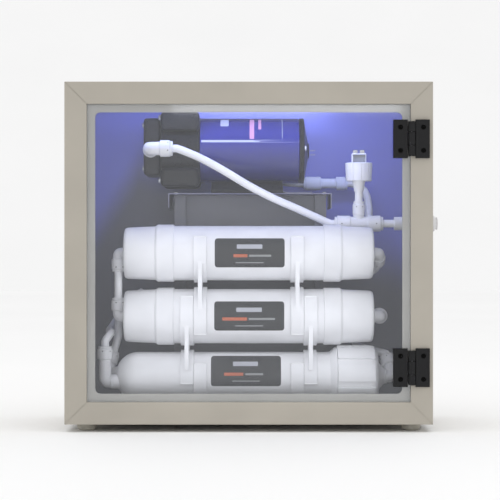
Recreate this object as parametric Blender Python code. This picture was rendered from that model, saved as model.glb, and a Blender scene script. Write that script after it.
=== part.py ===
"""Reverse osmosis unit: a sheet-metal cabinet with a clear door, holding a booster pump, two inline
filters, a membrane housing and their push-fit tubing.

Lengths are in metres. Inside the unit, x runs right from the cabinet's centre line, y is the depth
behind the front frame's face, and z is the height above the surface that the feet stand on. The
empty called unit moves all of it, so that the origin is under the middle of the whole unit.
"""

import math

import bmesh
import bpy
from mathutils import Matrix, Vector

GAP = 0.0003  # left between neighbours

# Cabinet
WIDTH = 0.430
HEIGHT = 0.400
DEPTH = 0.200
FOOT_HEIGHT = 0.009
SHEET = 0.0015
FACE_WIDTH = 0.026  # front frame, outer edge to door opening
STOP_MARGIN = 0.0355  # outer edge to the opening in the door stop
STOP_CORNER = 0.006
REAR_FLANGE = 0.012
BACK_PANEL_Y = 0.1983
DOOR_THICKNESS = 0.005
DOOR_GAP = 0.0005
BOTTOM = FOOT_HEIGHT
TOP = FOOT_HEIGHT + HEIGHT
MIDDLE = FOOT_HEIGHT + HEIGHT / 2
FLOOR = BOTTOM + SHEET + GAP
FOOT_RADIUS = 0.0115
FOOT_INSET = (0.0235, 0.030)  # from the sides, and from the front and back

# Hinges: the pin stands upright in front of the door's right-hand edge
PIN = (0.1898, -0.0045)
PIN_RADIUS = 0.0016
KNUCKLE_RADIUS = 0.0042
LEAF_THICKNESS = 0.003
LEAF_HEIGHT = 0.045
DOOR_LEAF_X = (0.1682, 0.1846)
FRAME_LEAF_X = (0.1951, 0.2109)
HINGE_SCREWS_X = (0.1769, 0.2036)
HINGE_SCREW_SPACING = 0.0272
HINGE_SCREW_RADIUS = 0.0028
HINGE_Z = {"upper": 0.3421, "lower": 0.0755}
CENTRE_KNUCKLE = 0.0077  # half height
OUTER_KNUCKLE = (0.0080, 0.0202)

# Push-fit tubing
TUBE_RADIUS = 0.00475
SOCKET_RADIUS = 0.00505
SOCKET_DEPTH = 0.013
BORE_RADIUS = 0.0032
STEM_RADIUS = 0.0055
PORT_RADIUS = 0.0058  # the threaded port that an elbow's stem sits in

# Bulkhead ports, measured outwards from the wall's outer face
PORT_FLANGE = 0.0097
PORT_BODY_END = 0.0102
PORT_REACH = 0.0134
PORT_INSIDE = 0.039
THREAD_RADIUS = 0.0083
WALL_HOLE = 0.0087
FEED_PORT = (0.079, 0.2446)  # y, z in the right-hand wall
BACK_PORTS = {"permeate": (-0.138, 0.150), "drain": (-0.100, 0.150)}  # x, z in the back panel

# Filters and membrane lie along x
FILTER_Y = 0.050
FILTER_HALF = 0.1494
FILTER_RADIUS = 0.0325
COLLAR_RADIUS = 0.0342
FILTER_Z = {"upper": 0.2088, "lower": 0.1335}
MEMBRANE_Z = 0.0618
MEMBRANE_RADIUS = 0.029
DOME_X = -0.133
DOME_LENGTH = 0.026
CAP_RADIUS = 0.0372
CAP_X = (0.1050, 0.1541)
NOSE_X = 0.162
CLIP_WIDTH = 0.0154
CLIP_WALL = 0.0022
CLIP_FIT = 0.0004
WEB = 0.005
UPPER_CLIP_X = 0.0574
LOWER_CLIP_X = 0.0731

# Booster pump: its shaft lies along x
PUMP = (0.1145, 0.3346)  # y, z of the shaft
MOTOR_RADIUS = 0.040
MOTOR_X = (-0.0593, 0.0616)
HEAD_X = (-0.1069, -0.0596)
HEAD_SIZE = 0.091
COVER_X = (-0.1278, -0.1072)
COVER_SIZE = 0.0696
PUMP_ELBOW_X = -0.119
PUMP_ELBOW_REACH = 0.0625  # from the shaft to an elbow's corner, in y
PUMP_ELBOW_ARM = 0.028
PUMP_PORT_Z = 0.334
TRAY_TOP = 0.2815
TRAY_X = (-0.0976, 0.1005)
TRAY_Y = (0.074, 0.165)
TRAY_EAR = 0.0185
STAND_X = (-0.0906, 0.0943)
STAND_Y = (0.0865, 0.165)
STAND_FLANGE = 0.014
STAND_STEP = 0.008

# Feed tee with its pressure switch
TEE = (0.1333, 0.079, 0.2446)
TEE_HALF = 0.0294
COLLET_RADIUS = 0.0097

CHECK_VALVE = (0.097, 0.177, 0.297)
CHECK_VALVE_HALF = 0.028

# The unit's centre: the right-hand port, the back ports and the hinges all stick out.
FRONT = PIN[1] - KNUCKLE_RADIUS
BACK = BACK_PANEL_Y + SHEET + PORT_REACH
UNIT_X = -PORT_REACH / 2
UNIT_Y = -(FRONT + BACK) / 2

X_AXIS = Vector((1, 0, 0))
Y_AXIS = Vector((0, 1, 0))
Z_AXIS = Vector((0, 0, 1))


def clear_scene():
    for obj in list(bpy.data.objects):
        bpy.data.objects.remove(obj, do_unlink=True)


def make_unit():
    unit = bpy.data.objects.new("unit", None)
    unit.location = (UNIT_X, UNIT_Y, 0)
    bpy.context.scene.collection.objects.link(unit)
    return unit


def make_material(name, colour, roughness, metallic=0.0, alpha=1.0):
    material = bpy.data.materials.new(name)
    material.use_nodes = True
    shader = material.node_tree.nodes["Principled BSDF"]
    shader.inputs["Base Color"].default_value = (*colour, 1)
    shader.inputs["Roughness"].default_value = roughness
    shader.inputs["Metallic"].default_value = metallic
    shader.inputs["Alpha"].default_value = alpha
    return material


def make_materials():
    return {
        "powder_coat": make_material("powder_coat", (0.42, 0.39, 0.34), 0.5),
        "inner_sheet": make_material("inner_sheet", (0.20, 0.21, 0.30), 0.35, 0.6),
        "acrylic": make_material("acrylic", (0.90, 0.94, 0.96), 0.03, alpha=0.25),
        "black_plastic": make_material("black_plastic", (0.012, 0.012, 0.013), 0.45),
        "foot_rubber": make_material("foot_rubber", (0.19, 0.18, 0.15), 0.7),
        "steel": make_material("steel", (0.55, 0.56, 0.58), 0.3, 1.0),
        "navy_paint": make_material("navy_paint", (0.012, 0.018, 0.10), 0.3),
        "white_plastic": make_material("white_plastic", (0.80, 0.80, 0.79), 0.35),
        "fitting_plastic": make_material("fitting_plastic", (0.72, 0.73, 0.72), 0.4),
        "tube_white": make_material("tube_white", (0.84, 0.84, 0.84), 0.4),
        "filter_media": make_material("filter_media", (0.05, 0.05, 0.05), 0.9),
    }


def place(obj, unit, material, location=(0, 0, 0)):
    obj.data.materials.append(material)
    obj.parent = unit
    obj.location = location
    bpy.context.scene.collection.objects.link(obj)
    if obj.type == "MESH":
        obj.data.shade_smooth()
        obj.data.set_sharp_from_angle(angle=math.radians(35))
    return obj


def mesh_object(name, bm):
    bmesh.ops.recalc_face_normals(bm, faces=bm.faces)
    mesh = bpy.data.meshes.new(name)
    bm.to_mesh(mesh)
    bm.free()
    return bpy.data.objects.new(name, mesh)


def side_axes(direction):
    """Two directions square to this one and to each other."""
    helper = Z_AXIS if abs(direction.z) < 0.9 else X_AXIS
    first = helper.cross(direction).normalized()
    return first, direction.cross(first)


def rings_to_solid(name, rings, joined):
    """A solid from rings of points. A ring of one point closes an end; joined links last to first."""
    bm = bmesh.new()
    loops = [[bm.verts.new(point) for point in ring] for ring in rings]
    pairs = list(zip(loops, loops[1:]))
    if joined:
        pairs.append((loops[-1], loops[0]))
    for one, other in pairs:
        count = max(len(one), len(other))
        for i in range(count):
            j = (i + 1) % count
            corners = [one[i % len(one)], one[j % len(one)]]
            corners += [other[j % len(other)], other[i % len(other)]]
            bm.faces.new(list(dict.fromkeys(corners)))
    return mesh_object(name, bm)


def turned(name, profile, axis=X_AXIS, sides=16, lobe=None):
    """A solid of revolution about axis from (distance, radius) points, run once round the section.

    It is a closed loop of points round the wall's section, or ends on the axis with two radii of 0.
    lobe, where given, changes a ring's radius at each side's number.
    """
    first, second = side_axes(axis)
    joined = profile[0][1] > 0
    rings = []
    for distance, radius in profile:
        centre = axis * distance
        if radius == 0:
            rings.append([centre])
            continue
        ring = []
        for i in range(sides):
            angle = 2 * math.pi * i / sides
            size = lobe(i, radius) if lobe else radius
            ring.append(centre + size * (math.cos(angle) * first + math.sin(angle) * second))
        rings.append(ring)
    return rings_to_solid(name, rings, joined)


def block(name, low, high):
    bm = bmesh.new()
    bmesh.ops.create_cube(bm, size=1)
    size = Vector(high) - Vector(low)
    bmesh.ops.scale(bm, vec=size, verts=bm.verts)
    bmesh.ops.translate(bm, vec=(Vector(low) + Vector(high)) / 2, verts=bm.verts)
    return mesh_object(name, bm)


def prism(name, outline, direction, length):
    """An outline, a list of points in one plane, extruded along direction."""
    bm = bmesh.new()
    face = bm.faces.new([bm.verts.new(point) for point in outline])
    made = bmesh.ops.extrude_face_region(bm, geom=[face])
    moved = [item for item in made["geom"] if isinstance(item, bmesh.types.BMVert)]
    bmesh.ops.translate(bm, vec=direction * length, verts=moved)
    return mesh_object(name, bm)


def folded_sheet(name, fold_line, direction, length, thickness):
    """Sheet metal bent along a line of points and as long as length; it thickens to the line's left."""
    bm = bmesh.new()
    near = [bm.verts.new(point) for point in fold_line]
    far = [bm.verts.new(Vector(point) + direction * length) for point in fold_line]
    for i in range(len(near) - 1):
        bm.faces.new([near[i], near[i + 1], far[i + 1], far[i]])
    mesh = bpy.data.meshes.new(name)
    bm.to_mesh(mesh)
    bm.free()
    sheet = bpy.data.objects.new(name, mesh)
    solidify = sheet.modifiers.new("thickness", "SOLIDIFY")
    solidify.thickness = thickness
    solidify.offset = -1
    solidify.use_even_offset = True
    return sheet


def combine(target, tool, operation, unit):
    """Adds a Boolean with a hidden tool, which keeps the target's own place."""
    tool.parent = unit
    tool.hide_render = True
    tool.display_type = "WIRE"
    bpy.context.scene.collection.objects.link(tool)
    modifier = target.modifiers.new(tool.name, "BOOLEAN")
    modifier.operation = operation
    modifier.solver = "EXACT"
    modifier.object = tool
    tool.hide_set(True)


def cut_round(target, unit, name, start, direction, length, radius, sides=12):
    """Drills a round hole from a start point along a direction."""
    tool = turned(name, [(0, 0), (0, radius), (length, radius), (length, 0)], direction, sides)
    tool.location = start
    combine(target, tool, "DIFFERENCE", unit)


def bent_path(tip, corner, mouth, bend_radius):
    """The line from tip round a corner to mouth, as a function of distance and the places of its bend."""
    inward = (corner - tip).normalized()
    outward = (mouth - corner).normalized()
    turn = inward.angle(outward)
    reach = bend_radius * math.tan(turn / 2)
    straight = (corner - tip).length - reach
    bend = bend_radius * turn
    total = straight + bend + (mouth - corner).length - reach
    turn_axis = inward.cross(outward).normalized()
    centre = tip + inward * straight + turn_axis.cross(inward) * bend_radius

    def at(distance):
        if distance <= straight:
            return tip + inward * distance, inward
        if distance < straight + bend:
            turned_by = Matrix.Rotation((distance - straight) / bend_radius, 3, turn_axis)
            return centre + turned_by @ (tip + inward * straight - centre), turned_by @ inward
        return mouth - outward * (total - distance), outward

    return at, turn_axis, straight, bend, total


def elbow(name, unit, material, corner, stem, stem_length, engaged, arm, arm_length, collar):
    """A push-fit elbow: a stem, engaged in a threaded port, a round corner, and a tube's collet."""
    sides = 10
    flange, body = collar * 0.93, collar * 0.80
    flange_thickness = 0.0025
    collar_length = 0.0155
    corner_point = Vector((0, 0, 0))
    tip = stem.normalized() * stem_length
    mouth = arm.normalized() * arm_length
    at, turn_axis, straight, bend, total = bent_path(tip, corner_point, mouth, 0.005)
    flange_start = engaged + GAP
    middle = straight + bend / 2
    outer = [
        (0, STEM_RADIUS),
        (flange_start, STEM_RADIUS),
        (flange_start, flange),
        (flange_start + flange_thickness, flange),
        (flange_start + flange_thickness, body),
        (straight, body),
        (middle, body),
        (straight + bend, body),
        (total - collar_length - GAP, body),
        (total - collar_length, collar),
        (total, collar),
    ]
    inner = [
        (total, SOCKET_RADIUS),
        (total - SOCKET_DEPTH, SOCKET_RADIUS),
        (total - SOCKET_DEPTH, BORE_RADIUS),
        (middle, BORE_RADIUS),
        (0, BORE_RADIUS),
    ]
    rings = []
    for distance, radius in outer + inner:
        centre, along = at(distance)
        across = turn_axis.cross(along)
        angles = [2 * math.pi * i / sides for i in range(sides)]
        spokes = [math.cos(angle) * turn_axis + math.sin(angle) * across for angle in angles]
        rings.append([centre + radius * spoke for spoke in spokes])
    return place(rings_to_solid(name, rings, True), unit, material, corner)


def smooth_route(points, spacing=0.016):
    """Points on the smooth curve through a route's own points, which stay among them."""
    knots = [Vector(point) for point in points]
    knots = [2 * knots[0] - knots[1], *knots, 2 * knots[-1] - knots[-2]]
    route = []
    for before, start, end, after in zip(knots, knots[1:], knots[2:], knots[3:]):
        steps = max(1, round((end - start).length / spacing))
        for i in range(steps):
            t = i / steps
            linear = (end - before) * t
            square = (2 * before - 5 * start + 4 * end - after) * t**2
            cube = (3 * start - before - 3 * end + after) * t**3
            route.append((2 * start + linear + square + cube) / 2)
    route.append(knots[-2])
    return route


def tube(name, unit, material, points):
    """A length of round tube along a route."""
    curve = bpy.data.curves.new(name, "CURVE")
    curve.dimensions = "3D"
    curve.bevel_depth = TUBE_RADIUS
    curve.bevel_resolution = 2
    curve.use_fill_caps = True
    spline = curve.splines.new("POLY")
    route = smooth_route(points)
    spline.points.add(len(route) - 1)
    for point, place_on_curve in zip(spline.points, route):
        point.co = (*place_on_curve, 1)
    return place(bpy.data.objects.new(name, curve), unit, material)


def framed_ring(name, section, half_width, half_height):
    """A mitred rectangular ring about the cabinet's middle, from (distance in, depth) section points."""
    rings = []
    for side_x, side_z in ((-1, -1), (1, -1), (1, 1), (-1, 1)):
        rings.append([
            Vector((side_x * (half_width - inset), depth, MIDDLE + side_z * (half_height - inset)))
            for inset, depth in section
        ])
    return rings_to_solid(name, rings, True)


def make_cabinet(unit, paint, inner):
    lip = DOOR_THICKNESS
    rear = BACK_PANEL_Y - GAP
    section = [
        (0, 0),
        (0, DEPTH),
        (SHEET, DEPTH),
        (SHEET, rear),
        (REAR_FLANGE, rear),
        (REAR_FLANGE, rear - SHEET),
        (SHEET, rear - SHEET),
        (SHEET, SHEET),
        (FACE_WIDTH - SHEET, SHEET),
        (FACE_WIDTH - SHEET, lip),
        (FACE_WIDTH, lip),
        (FACE_WIDTH, 0),
    ]
    shell = framed_ring("cabinet_shell", section, WIDTH / 2, HEIGHT / 2)
    place(shell, unit, paint)
    wall = WIDTH / 2 - 2 * SHEET
    cut_round(shell, unit, "feed_port_hole", (wall, *FEED_PORT), X_AXIS, 4 * SHEET, WALL_HOLE)
    for name, z in HINGE_Z.items():
        for side in (-1, 1):
            start = (HINGE_SCREWS_X[1], -SHEET, z + side * HINGE_SCREW_SPACING / 2)
            hole = f"{name}_hinge_hole_{side + 1}"
            cut_round(shell, unit, hole, start, Y_AXIS, 3 * SHEET, HINGE_SCREW_RADIUS, 8)

    edge = SHEET + GAP
    low = (-WIDTH / 2 + edge, BACK_PANEL_Y, BOTTOM + edge)
    high = (WIDTH / 2 - edge, BACK_PANEL_Y + SHEET, TOP - edge)
    panel = place(block("back_panel", low, high), unit, inner)
    for name, (x, z) in BACK_PORTS.items():
        start = (x, BACK_PANEL_Y - SHEET, z)
        cut_round(panel, unit, f"{name}_port_hole", start, Y_AXIS, 4 * SHEET, WALL_HOLE)


def make_door_stop(unit, paint):
    """The flat frame behind the front frame that the door closes against, with rounded inner corners."""
    stop_outer = 0.016
    stop_y = DOOR_THICKNESS + GAP
    bm = bmesh.new()
    half_x, half_z = WIDTH / 2 - stop_outer, HEIGHT / 2 - stop_outer
    outer = [(-half_x, -half_z), (half_x, -half_z), (half_x, half_z), (-half_x, half_z)]
    inner_x, inner_z = WIDTH / 2 - STOP_MARGIN, HEIGHT / 2 - STOP_MARGIN
    steps = 3
    corners = []
    for corner, (side_x, side_z) in enumerate(((-1, -1), (1, -1), (1, 1), (-1, 1))):
        start = math.pi + corner * math.pi / 2
        arc = [start + math.pi / 2 * i / steps for i in range(steps + 1)]
        centre = (side_x * (inner_x - STOP_CORNER), side_z * (inner_z - STOP_CORNER))
        corners.append([
            (centre[0] + STOP_CORNER * math.cos(a), centre[1] + STOP_CORNER * math.sin(a)) for a in arc
        ])
    layers = []
    for depth in (stop_y, stop_y + SHEET):
        outer_loop = [bm.verts.new((x, depth, MIDDLE + z)) for x, z in outer]
        arcs = [[bm.verts.new((x, depth, MIDDLE + z)) for x, z in arc] for arc in corners]
        layers.append((outer_loop, arcs))
        for i in range(4):
            j = (i + 1) % 4
            for a, b in zip(arcs[i], arcs[i][1:]):
                bm.faces.new([outer_loop[i], a, b])
            bm.faces.new([outer_loop[i], arcs[i][-1], arcs[j][0], outer_loop[j]])
    (near_outer, near_arcs), (far_outer, far_arcs) = layers
    near_inner = [v for arc in near_arcs for v in arc]
    far_inner = [v for arc in far_arcs for v in arc]
    for near, far in ((near_outer, far_outer), (near_inner, far_inner)):
        for i in range(len(near)):
            j = (i + 1) % len(near)
            bm.faces.new([near[i], near[j], far[j], far[i]])
    place(mesh_object("door_stop_frame", bm), unit, paint)


def make_feet(unit, rubber):
    top = FOOT_HEIGHT - GAP
    profile = [
        (0, 0.0090),
        (0.0025, FOOT_RADIUS),
        (top, FOOT_RADIUS),
        (top, 0.0040),
        (0, 0.0040),
    ]
    side, end = FOOT_INSET
    for row, y in (("front", end), ("rear", DEPTH - end)):
        for column, x in (("left", -WIDTH / 2 + side), ("right", WIDTH / 2 - side)):
            place(turned(f"foot_{row}_{column}", profile, Z_AXIS, 12), unit, rubber, (x, y, 0))


def make_door(unit, acrylic):
    opening_x = WIDTH / 2 - FACE_WIDTH - DOOR_GAP
    opening_z = HEIGHT / 2 - FACE_WIDTH - DOOR_GAP
    pivot = Vector((*PIN, 0))
    low = Vector((-opening_x, 0, MIDDLE - opening_z)) - pivot
    high = Vector((opening_x, DOOR_THICKNESS - GAP, MIDDLE + opening_z)) - pivot
    door = place(block("door_panel", low, high), unit, acrylic, pivot)
    for name, z in HINGE_Z.items():
        for side in (-1, 1):
            start = (HINGE_SCREWS_X[0], -SHEET, z + side * HINGE_SCREW_SPACING / 2)
            hole = f"{name}_door_hole_{side + 1}"
            cut_round(door, unit, hole, start, Y_AXIS, 3 * DOOR_THICKNESS, HINGE_SCREW_RADIUS, 8)


def hinge_leaf(name, unit, material, centre_z, plate_x, knuckles, screw_x):
    """A leaf lying in front of the door or frame, with its knuckles round the pin."""
    half = LEAF_HEIGHT / 2
    plate_y = (-GAP - LEAF_THICKNESS, -GAP)
    pivot = Vector((*PIN, centre_z))
    low = Vector((plate_x[0], plate_y[0], centre_z - half)) - pivot
    high = Vector((plate_x[1], plate_y[1], centre_z + half)) - pivot
    leaf = place(block(name, low, high), unit, material, pivot)
    near = min(plate_x, key=lambda x: abs(x - PIN[0]))
    inward = math.copysign(0.003, near - PIN[0])
    for number, (bottom, top) in enumerate(knuckles):
        span = sorted((PIN[0], near + inward))
        arm = block(
            f"{name}_arm_{number}",
            (span[0], plate_y[0], centre_z + bottom),
            (span[1], plate_y[1], centre_z + top),
        )
        combine(leaf, arm, "UNION", unit)
        profile = [(bottom, 0), (bottom, KNUCKLE_RADIUS), (top, KNUCKLE_RADIUS), (top, 0)]
        barrel = turned(f"{name}_barrel_{number}", profile, Z_AXIS, 12)
        barrel.location = pivot
        combine(leaf, barrel, "UNION", unit)
    start = pivot - Z_AXIS * half
    cut_round(leaf, unit, f"{name}_pin_bore", start, Z_AXIS, LEAF_HEIGHT, PIN_RADIUS + GAP, 8)
    for side in (-1, 1):
        start = (screw_x, -2 * LEAF_THICKNESS, centre_z + side * HINGE_SCREW_SPACING / 2)
        hole = f"{name}_hole_{side + 1}"
        cut_round(leaf, unit, hole, start, Y_AXIS, 3 * LEAF_THICKNESS, HINGE_SCREW_RADIUS, 8)


def make_hinges(unit, black, steel):
    low, high = OUTER_KNUCKLE
    for name, z in HINGE_Z.items():
        centre = [(-CENTRE_KNUCKLE, CENTRE_KNUCKLE)]
        outer = [(-high, -low), (low, high)]
        hinge_leaf(f"hinge_{name}_door_leaf", unit, black, z, DOOR_LEAF_X, centre, HINGE_SCREWS_X[0])
        hinge_leaf(f"hinge_{name}_frame_leaf", unit, black, z, FRAME_LEAF_X, outer, HINGE_SCREWS_X[1])
        profile = [(-high, 0), (-high, PIN_RADIUS), (high, PIN_RADIUS), (high, 0)]
        place(turned(f"hinge_{name}_pin", profile, Z_AXIS, 8), unit, steel, (*PIN, z))


def make_port(name, unit, fitting, collet_material, wall_point, outward):
    """A bulkhead port through a wall, with the sliding collet that its user pushes to free a tube."""
    shoulder = 0.0020
    recess = 0.0075
    body = [
        (PORT_BODY_END, 0.0084),
        (0.0088, PORT_FLANGE),
        (GAP, PORT_FLANGE),
        (GAP, THREAD_RADIUS),
        (-PORT_INSIDE, THREAD_RADIUS),
        (-PORT_INSIDE, SOCKET_RADIUS),
        (-PORT_INSIDE + SOCKET_DEPTH, SOCKET_RADIUS),
        (-PORT_INSIDE + SOCKET_DEPTH, BORE_RADIUS),
        (-0.004, BORE_RADIUS),
        (-0.004, SOCKET_RADIUS),
        (shoulder, SOCKET_RADIUS),
        (shoulder, recess),
        (PORT_BODY_END, recess),
    ]
    lip = PORT_BODY_END + 0.0018
    collet = [
        (PORT_REACH, SOCKET_RADIUS),
        (PORT_REACH, 0.0078),
        (lip, 0.0078),
        (lip, recess - GAP),
        (shoulder + 0.002, recess - GAP),
        (shoulder + 0.002, SOCKET_RADIUS),
    ]
    place(turned(f"{name}_port_body", body, outward, 10), unit, fitting, wall_point)
    place(turned(f"{name}_port_collet", collet, outward, 10), unit, collet_material, wall_point)


def make_filter(name, unit, shell_material, media_material, z):
    """A sealed inline filter: a white shell with a port at each end, round a block of media."""
    half = FILTER_HALF
    end_face = half - 0.003
    side = [
        (end_face, PORT_RADIUS),
        (end_face, 0.025),
        (half, 0.026),
        (half, 0.0305),
        (0.1095, 0.0320),
        (0.1085, COLLAR_RADIUS),
        (0.0890, COLLAR_RADIUS),
        (0.0890, FILTER_RADIUS),
    ]
    inside = 0.143
    bore = 0.0293
    left = [(-x, radius) for x, radius in side]
    right = list(reversed(side))
    cavity = [(inside, PORT_RADIUS), (inside, bore), (-inside, bore), (-inside, PORT_RADIUS)]
    where = (0, FILTER_Y, z)
    shell = turned(f"{name}_filter_shell", left + right + cavity, X_AXIS, 20)
    place(shell, unit, shell_material, where)
    end = inside - 0.001
    block_radius = bore - 0.0008
    core = 0.006
    media = [(-end, block_radius), (end, block_radius), (end, core), (-end, core)]
    place(turned(f"{name}_filter_media", media, X_AXIS, 20), unit, media_material, where)


def make_membrane(unit, white, media_material):
    """The membrane's housing with its ribbed screw cap, and the spiral-wound element inside."""
    wall = 0.0025
    thread = CAP_RADIUS - 0.005
    thread_end = CAP_X[1] - 0.0065
    shoulder = 0.0354
    flare = 0.0958
    quarter = [math.pi / 2 * i / 3 for i in range(4)]
    inner_length, inner_radius = DOME_LENGTH - wall, MEMBRANE_RADIUS - wall
    profile = [
        *[(DOME_X - DOME_LENGTH * math.cos(a), MEMBRANE_RADIUS * math.sin(a)) for a in quarter],
        (flare, MEMBRANE_RADIUS),
        (flare + 0.0075, shoulder),
        (CAP_X[0] - GAP, shoulder),
        (CAP_X[0] - GAP, thread - GAP),
        (thread_end, thread - GAP),
        (thread_end, inner_radius),
        *[(DOME_X - inner_length * math.cos(a), inner_radius * math.sin(a)) for a in reversed(quarter)],
    ]
    where = (0, FILTER_Y, MEMBRANE_Z)
    housing = place(turned("membrane_housing", profile, X_AXIS, 16), unit, white, where)
    for name, (y, z) in MEMBRANE_PORTS.items():
        boss_end = DOME_X - DOME_LENGTH - 0.0025
        boss_radius, boss_length = 0.0085, 0.0125
        section = [(0, 0), (0, boss_radius), (boss_length, boss_radius), (boss_length, 0)]
        boss = turned(f"{name}_boss", section, X_AXIS, 12)
        boss.location = (boss_end, y, z)
        combine(housing, boss, "UNION", unit)
        start = (boss_end - 0.001, y, z)
        cut_round(housing, unit, f"{name}_port", start, X_AXIS, boss_length + 0.0035, PORT_RADIUS)

    def lobe(number, radius):
        """Grooves between the cap's grips: every third side of its outer rings lies lower."""
        return radius * 0.965 if number % 3 == 0 and radius > thread + 0.0015 else radius

    inside = CAP_X[1] - 0.004
    cap = [
        (CAP_X[0], thread),
        (CAP_X[0], CAP_RADIUS),
        (0.1455, CAP_RADIUS),
        (0.1510, 0.0345),
        (CAP_X[1], 0.0260),
        (CAP_X[1] + 0.0004, 0.0170),
        (NOSE_X, 0.0090),
        (NOSE_X, PORT_RADIUS),
        (inside, PORT_RADIUS),
        (inside, thread),
    ]
    place(turned("membrane_cap", cap, X_AXIS, 24, lobe), unit, white, where)
    winding = 0.0224
    core = 0.0085
    element = [
        (-0.1400, 0),
        (-0.1400, core),
        (-0.1250, core),
        (-0.1250, winding),
        (0.1180, winding),
        (0.1180, 0.0252),
        (0.1220, 0.0252),
        (0.1220, core),
        (0.1450, core),
        (0.1450, 0),
    ]
    place(turned("membrane_element", element, X_AXIS, 12), unit, media_material, where)


def arc_points(x, centre, radius, start, end, steps):
    """Points round the x direction, from one angle to another, where 0 points to the rear and pi/2 up."""
    y, z = centre
    angles = [start + (end - start) * i / steps for i in range(steps + 1)]
    return [(x, y + radius * math.cos(angle), z + radius * math.sin(angle)) for angle in angles]


def ring_clip(name, unit, material, x, grips, foot):
    """A moulded clip: C-shaped grips round cylinders, joined by a web or standing on a foot.

    grips lists (height of the cylinder's axis, its radius, 1 or -1 as the C opens up or down, and how
    far its lips stand past that axis).
    """
    start_x = x - CLIP_WIDTH / 2
    steps = 13
    pieces = []
    for z, radius, opens, lip in grips:
        inner = radius + CLIP_FIT
        past = math.asin(lip / inner)
        start, end = -opens * math.pi - past * opens, opens * past
        half_step = (math.pi + 2 * past) / steps / 2
        centre = (FILTER_Y, z)
        outside = arc_points(start_x, centre, inner + CLIP_WALL, start, end, steps)
        inside = arc_points(start_x, centre, inner / math.cos(half_step), start, end, steps)
        pieces.append((outside + inside[::-1], CLIP_WIDTH))
    middles = [(z, radius + CLIP_FIT + CLIP_WALL / 2) for z, radius, _, _ in grips]
    if foot:
        (z, middle), half = middles[0], 0.014
        spread = math.acos(half / middle)
        foot_line = [(half, 0.003), (0.026, 0.003), (0.026, 0), (-0.026, 0), (-0.026, 0.003), (-half, 0.003)]
        outline = [(start_x, FILTER_Y + y, FLOOR + up) for y, up in foot_line]
        outline += arc_points(start_x, (FILTER_Y, z), middle, spread - math.pi, -spread, 5)
        pieces.append((outline, CLIP_WIDTH))
    else:
        web_x = x - WEB / 2
        reach = math.radians(75)
        (high, high_radius), (low, low_radius) = middles
        above = arc_points(web_x, (FILTER_Y, high), high_radius, -math.pi, -reach, 5)
        below = arc_points(web_x, (FILTER_Y, low), low_radius, reach, math.pi, 5)
        front = [(web_x, y - CLIP_WALL * 0.4, z) for _, y, z in (below[-1], above[0])]
        pieces.append((above + below + front, WEB))
    clip = None
    for number, (outline, width) in enumerate(pieces):
        piece = prism(f"{name}_piece_{number}" if clip else name, outline, X_AXIS, width)
        if clip:
            combine(clip, piece, "UNION", unit)
        else:
            clip = place(piece, unit, material)


def make_clips(unit, material):
    upper, lower = FILTER_Z["upper"], FILTER_Z["lower"]
    filter_radius, membrane = FILTER_RADIUS, (MEMBRANE_Z, MEMBRANE_RADIUS)
    stacks = {
        "upper": (UPPER_CLIP_X, [(upper, filter_radius, 1, 0.0190), (lower, filter_radius, -1, 0.0195)]),
        "lower": (LOWER_CLIP_X, [(lower, filter_radius, 1, 0.0230), (*membrane, -1, 0.0065)]),
        "base": (UPPER_CLIP_X, [(*membrane, 1, 0.0160)]),
    }
    for stack, (x, grips) in stacks.items():
        for side, sign in (("left", -1), ("right", 1)):
            ring_clip(f"{stack}_clip_{side}", unit, material, sign * x, grips, stack == "base")


def rounded_square(name, x_span, centre, size, corner):
    """A square block with rounded edges along x."""
    y, z = centre
    half = size / 2 - corner
    steps = 3
    outline = []
    for number, (side_y, side_z) in enumerate(((1, 1), (-1, 1), (-1, -1), (1, -1))):
        for i in range(steps + 1):
            angle = math.pi / 2 * (number + i / steps)
            outline.append((
                x_span[0],
                y + side_y * half + corner * math.cos(angle),
                z + side_z * half + corner * math.sin(angle),
            ))
    return prism(name, outline, X_AXIS, x_span[1] - x_span[0])


def make_pump_head(unit, black, fitting):
    """The pump's head over the cam, its cover with a port on each side, and the elbows in them."""
    shaft = Vector((0, *PUMP))
    cover_z = 0.3379
    port_z = PUMP_PORT_Z

    head = place(rounded_square("pump_head", HEAD_X, PUMP, HEAD_SIZE, 0.008), unit, black)
    start = shaft + X_AXIS * (HEAD_X[0] - 0.001)
    cut_round(head, unit, "cam_chamber", start, X_AXIS, HEAD_X[1] - HEAD_X[0] + 0.002, 0.024, 16)

    centre = (PUMP[0], cover_z)
    cover = place(rounded_square("pump_head_cover", COVER_X, centre, COVER_SIZE, 0.010), unit, black)
    port_depth = 0.009
    for name, side in (("inlet", -1), ("outlet", 1)):
        start = (PUMP_ELBOW_X, PUMP[0] + side * (COVER_SIZE / 2 + 0.001), port_z)
        cut_round(cover, unit, f"pump_{name}_port", start, -side * Y_AXIS, port_depth + 0.005, PORT_RADIUS)
        corner = Vector((PUMP_ELBOW_X, PUMP[0] + side * PUMP_ELBOW_REACH, port_z))
        stem = (-side * Y_AXIS, PUMP_ELBOW_REACH - COVER_SIZE / 2 + port_depth, port_depth)
        elbow(f"pump_{name}_elbow", unit, fitting, corner, *stem, X_AXIS, PUMP_ELBOW_ARM, 0.0100)


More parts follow.
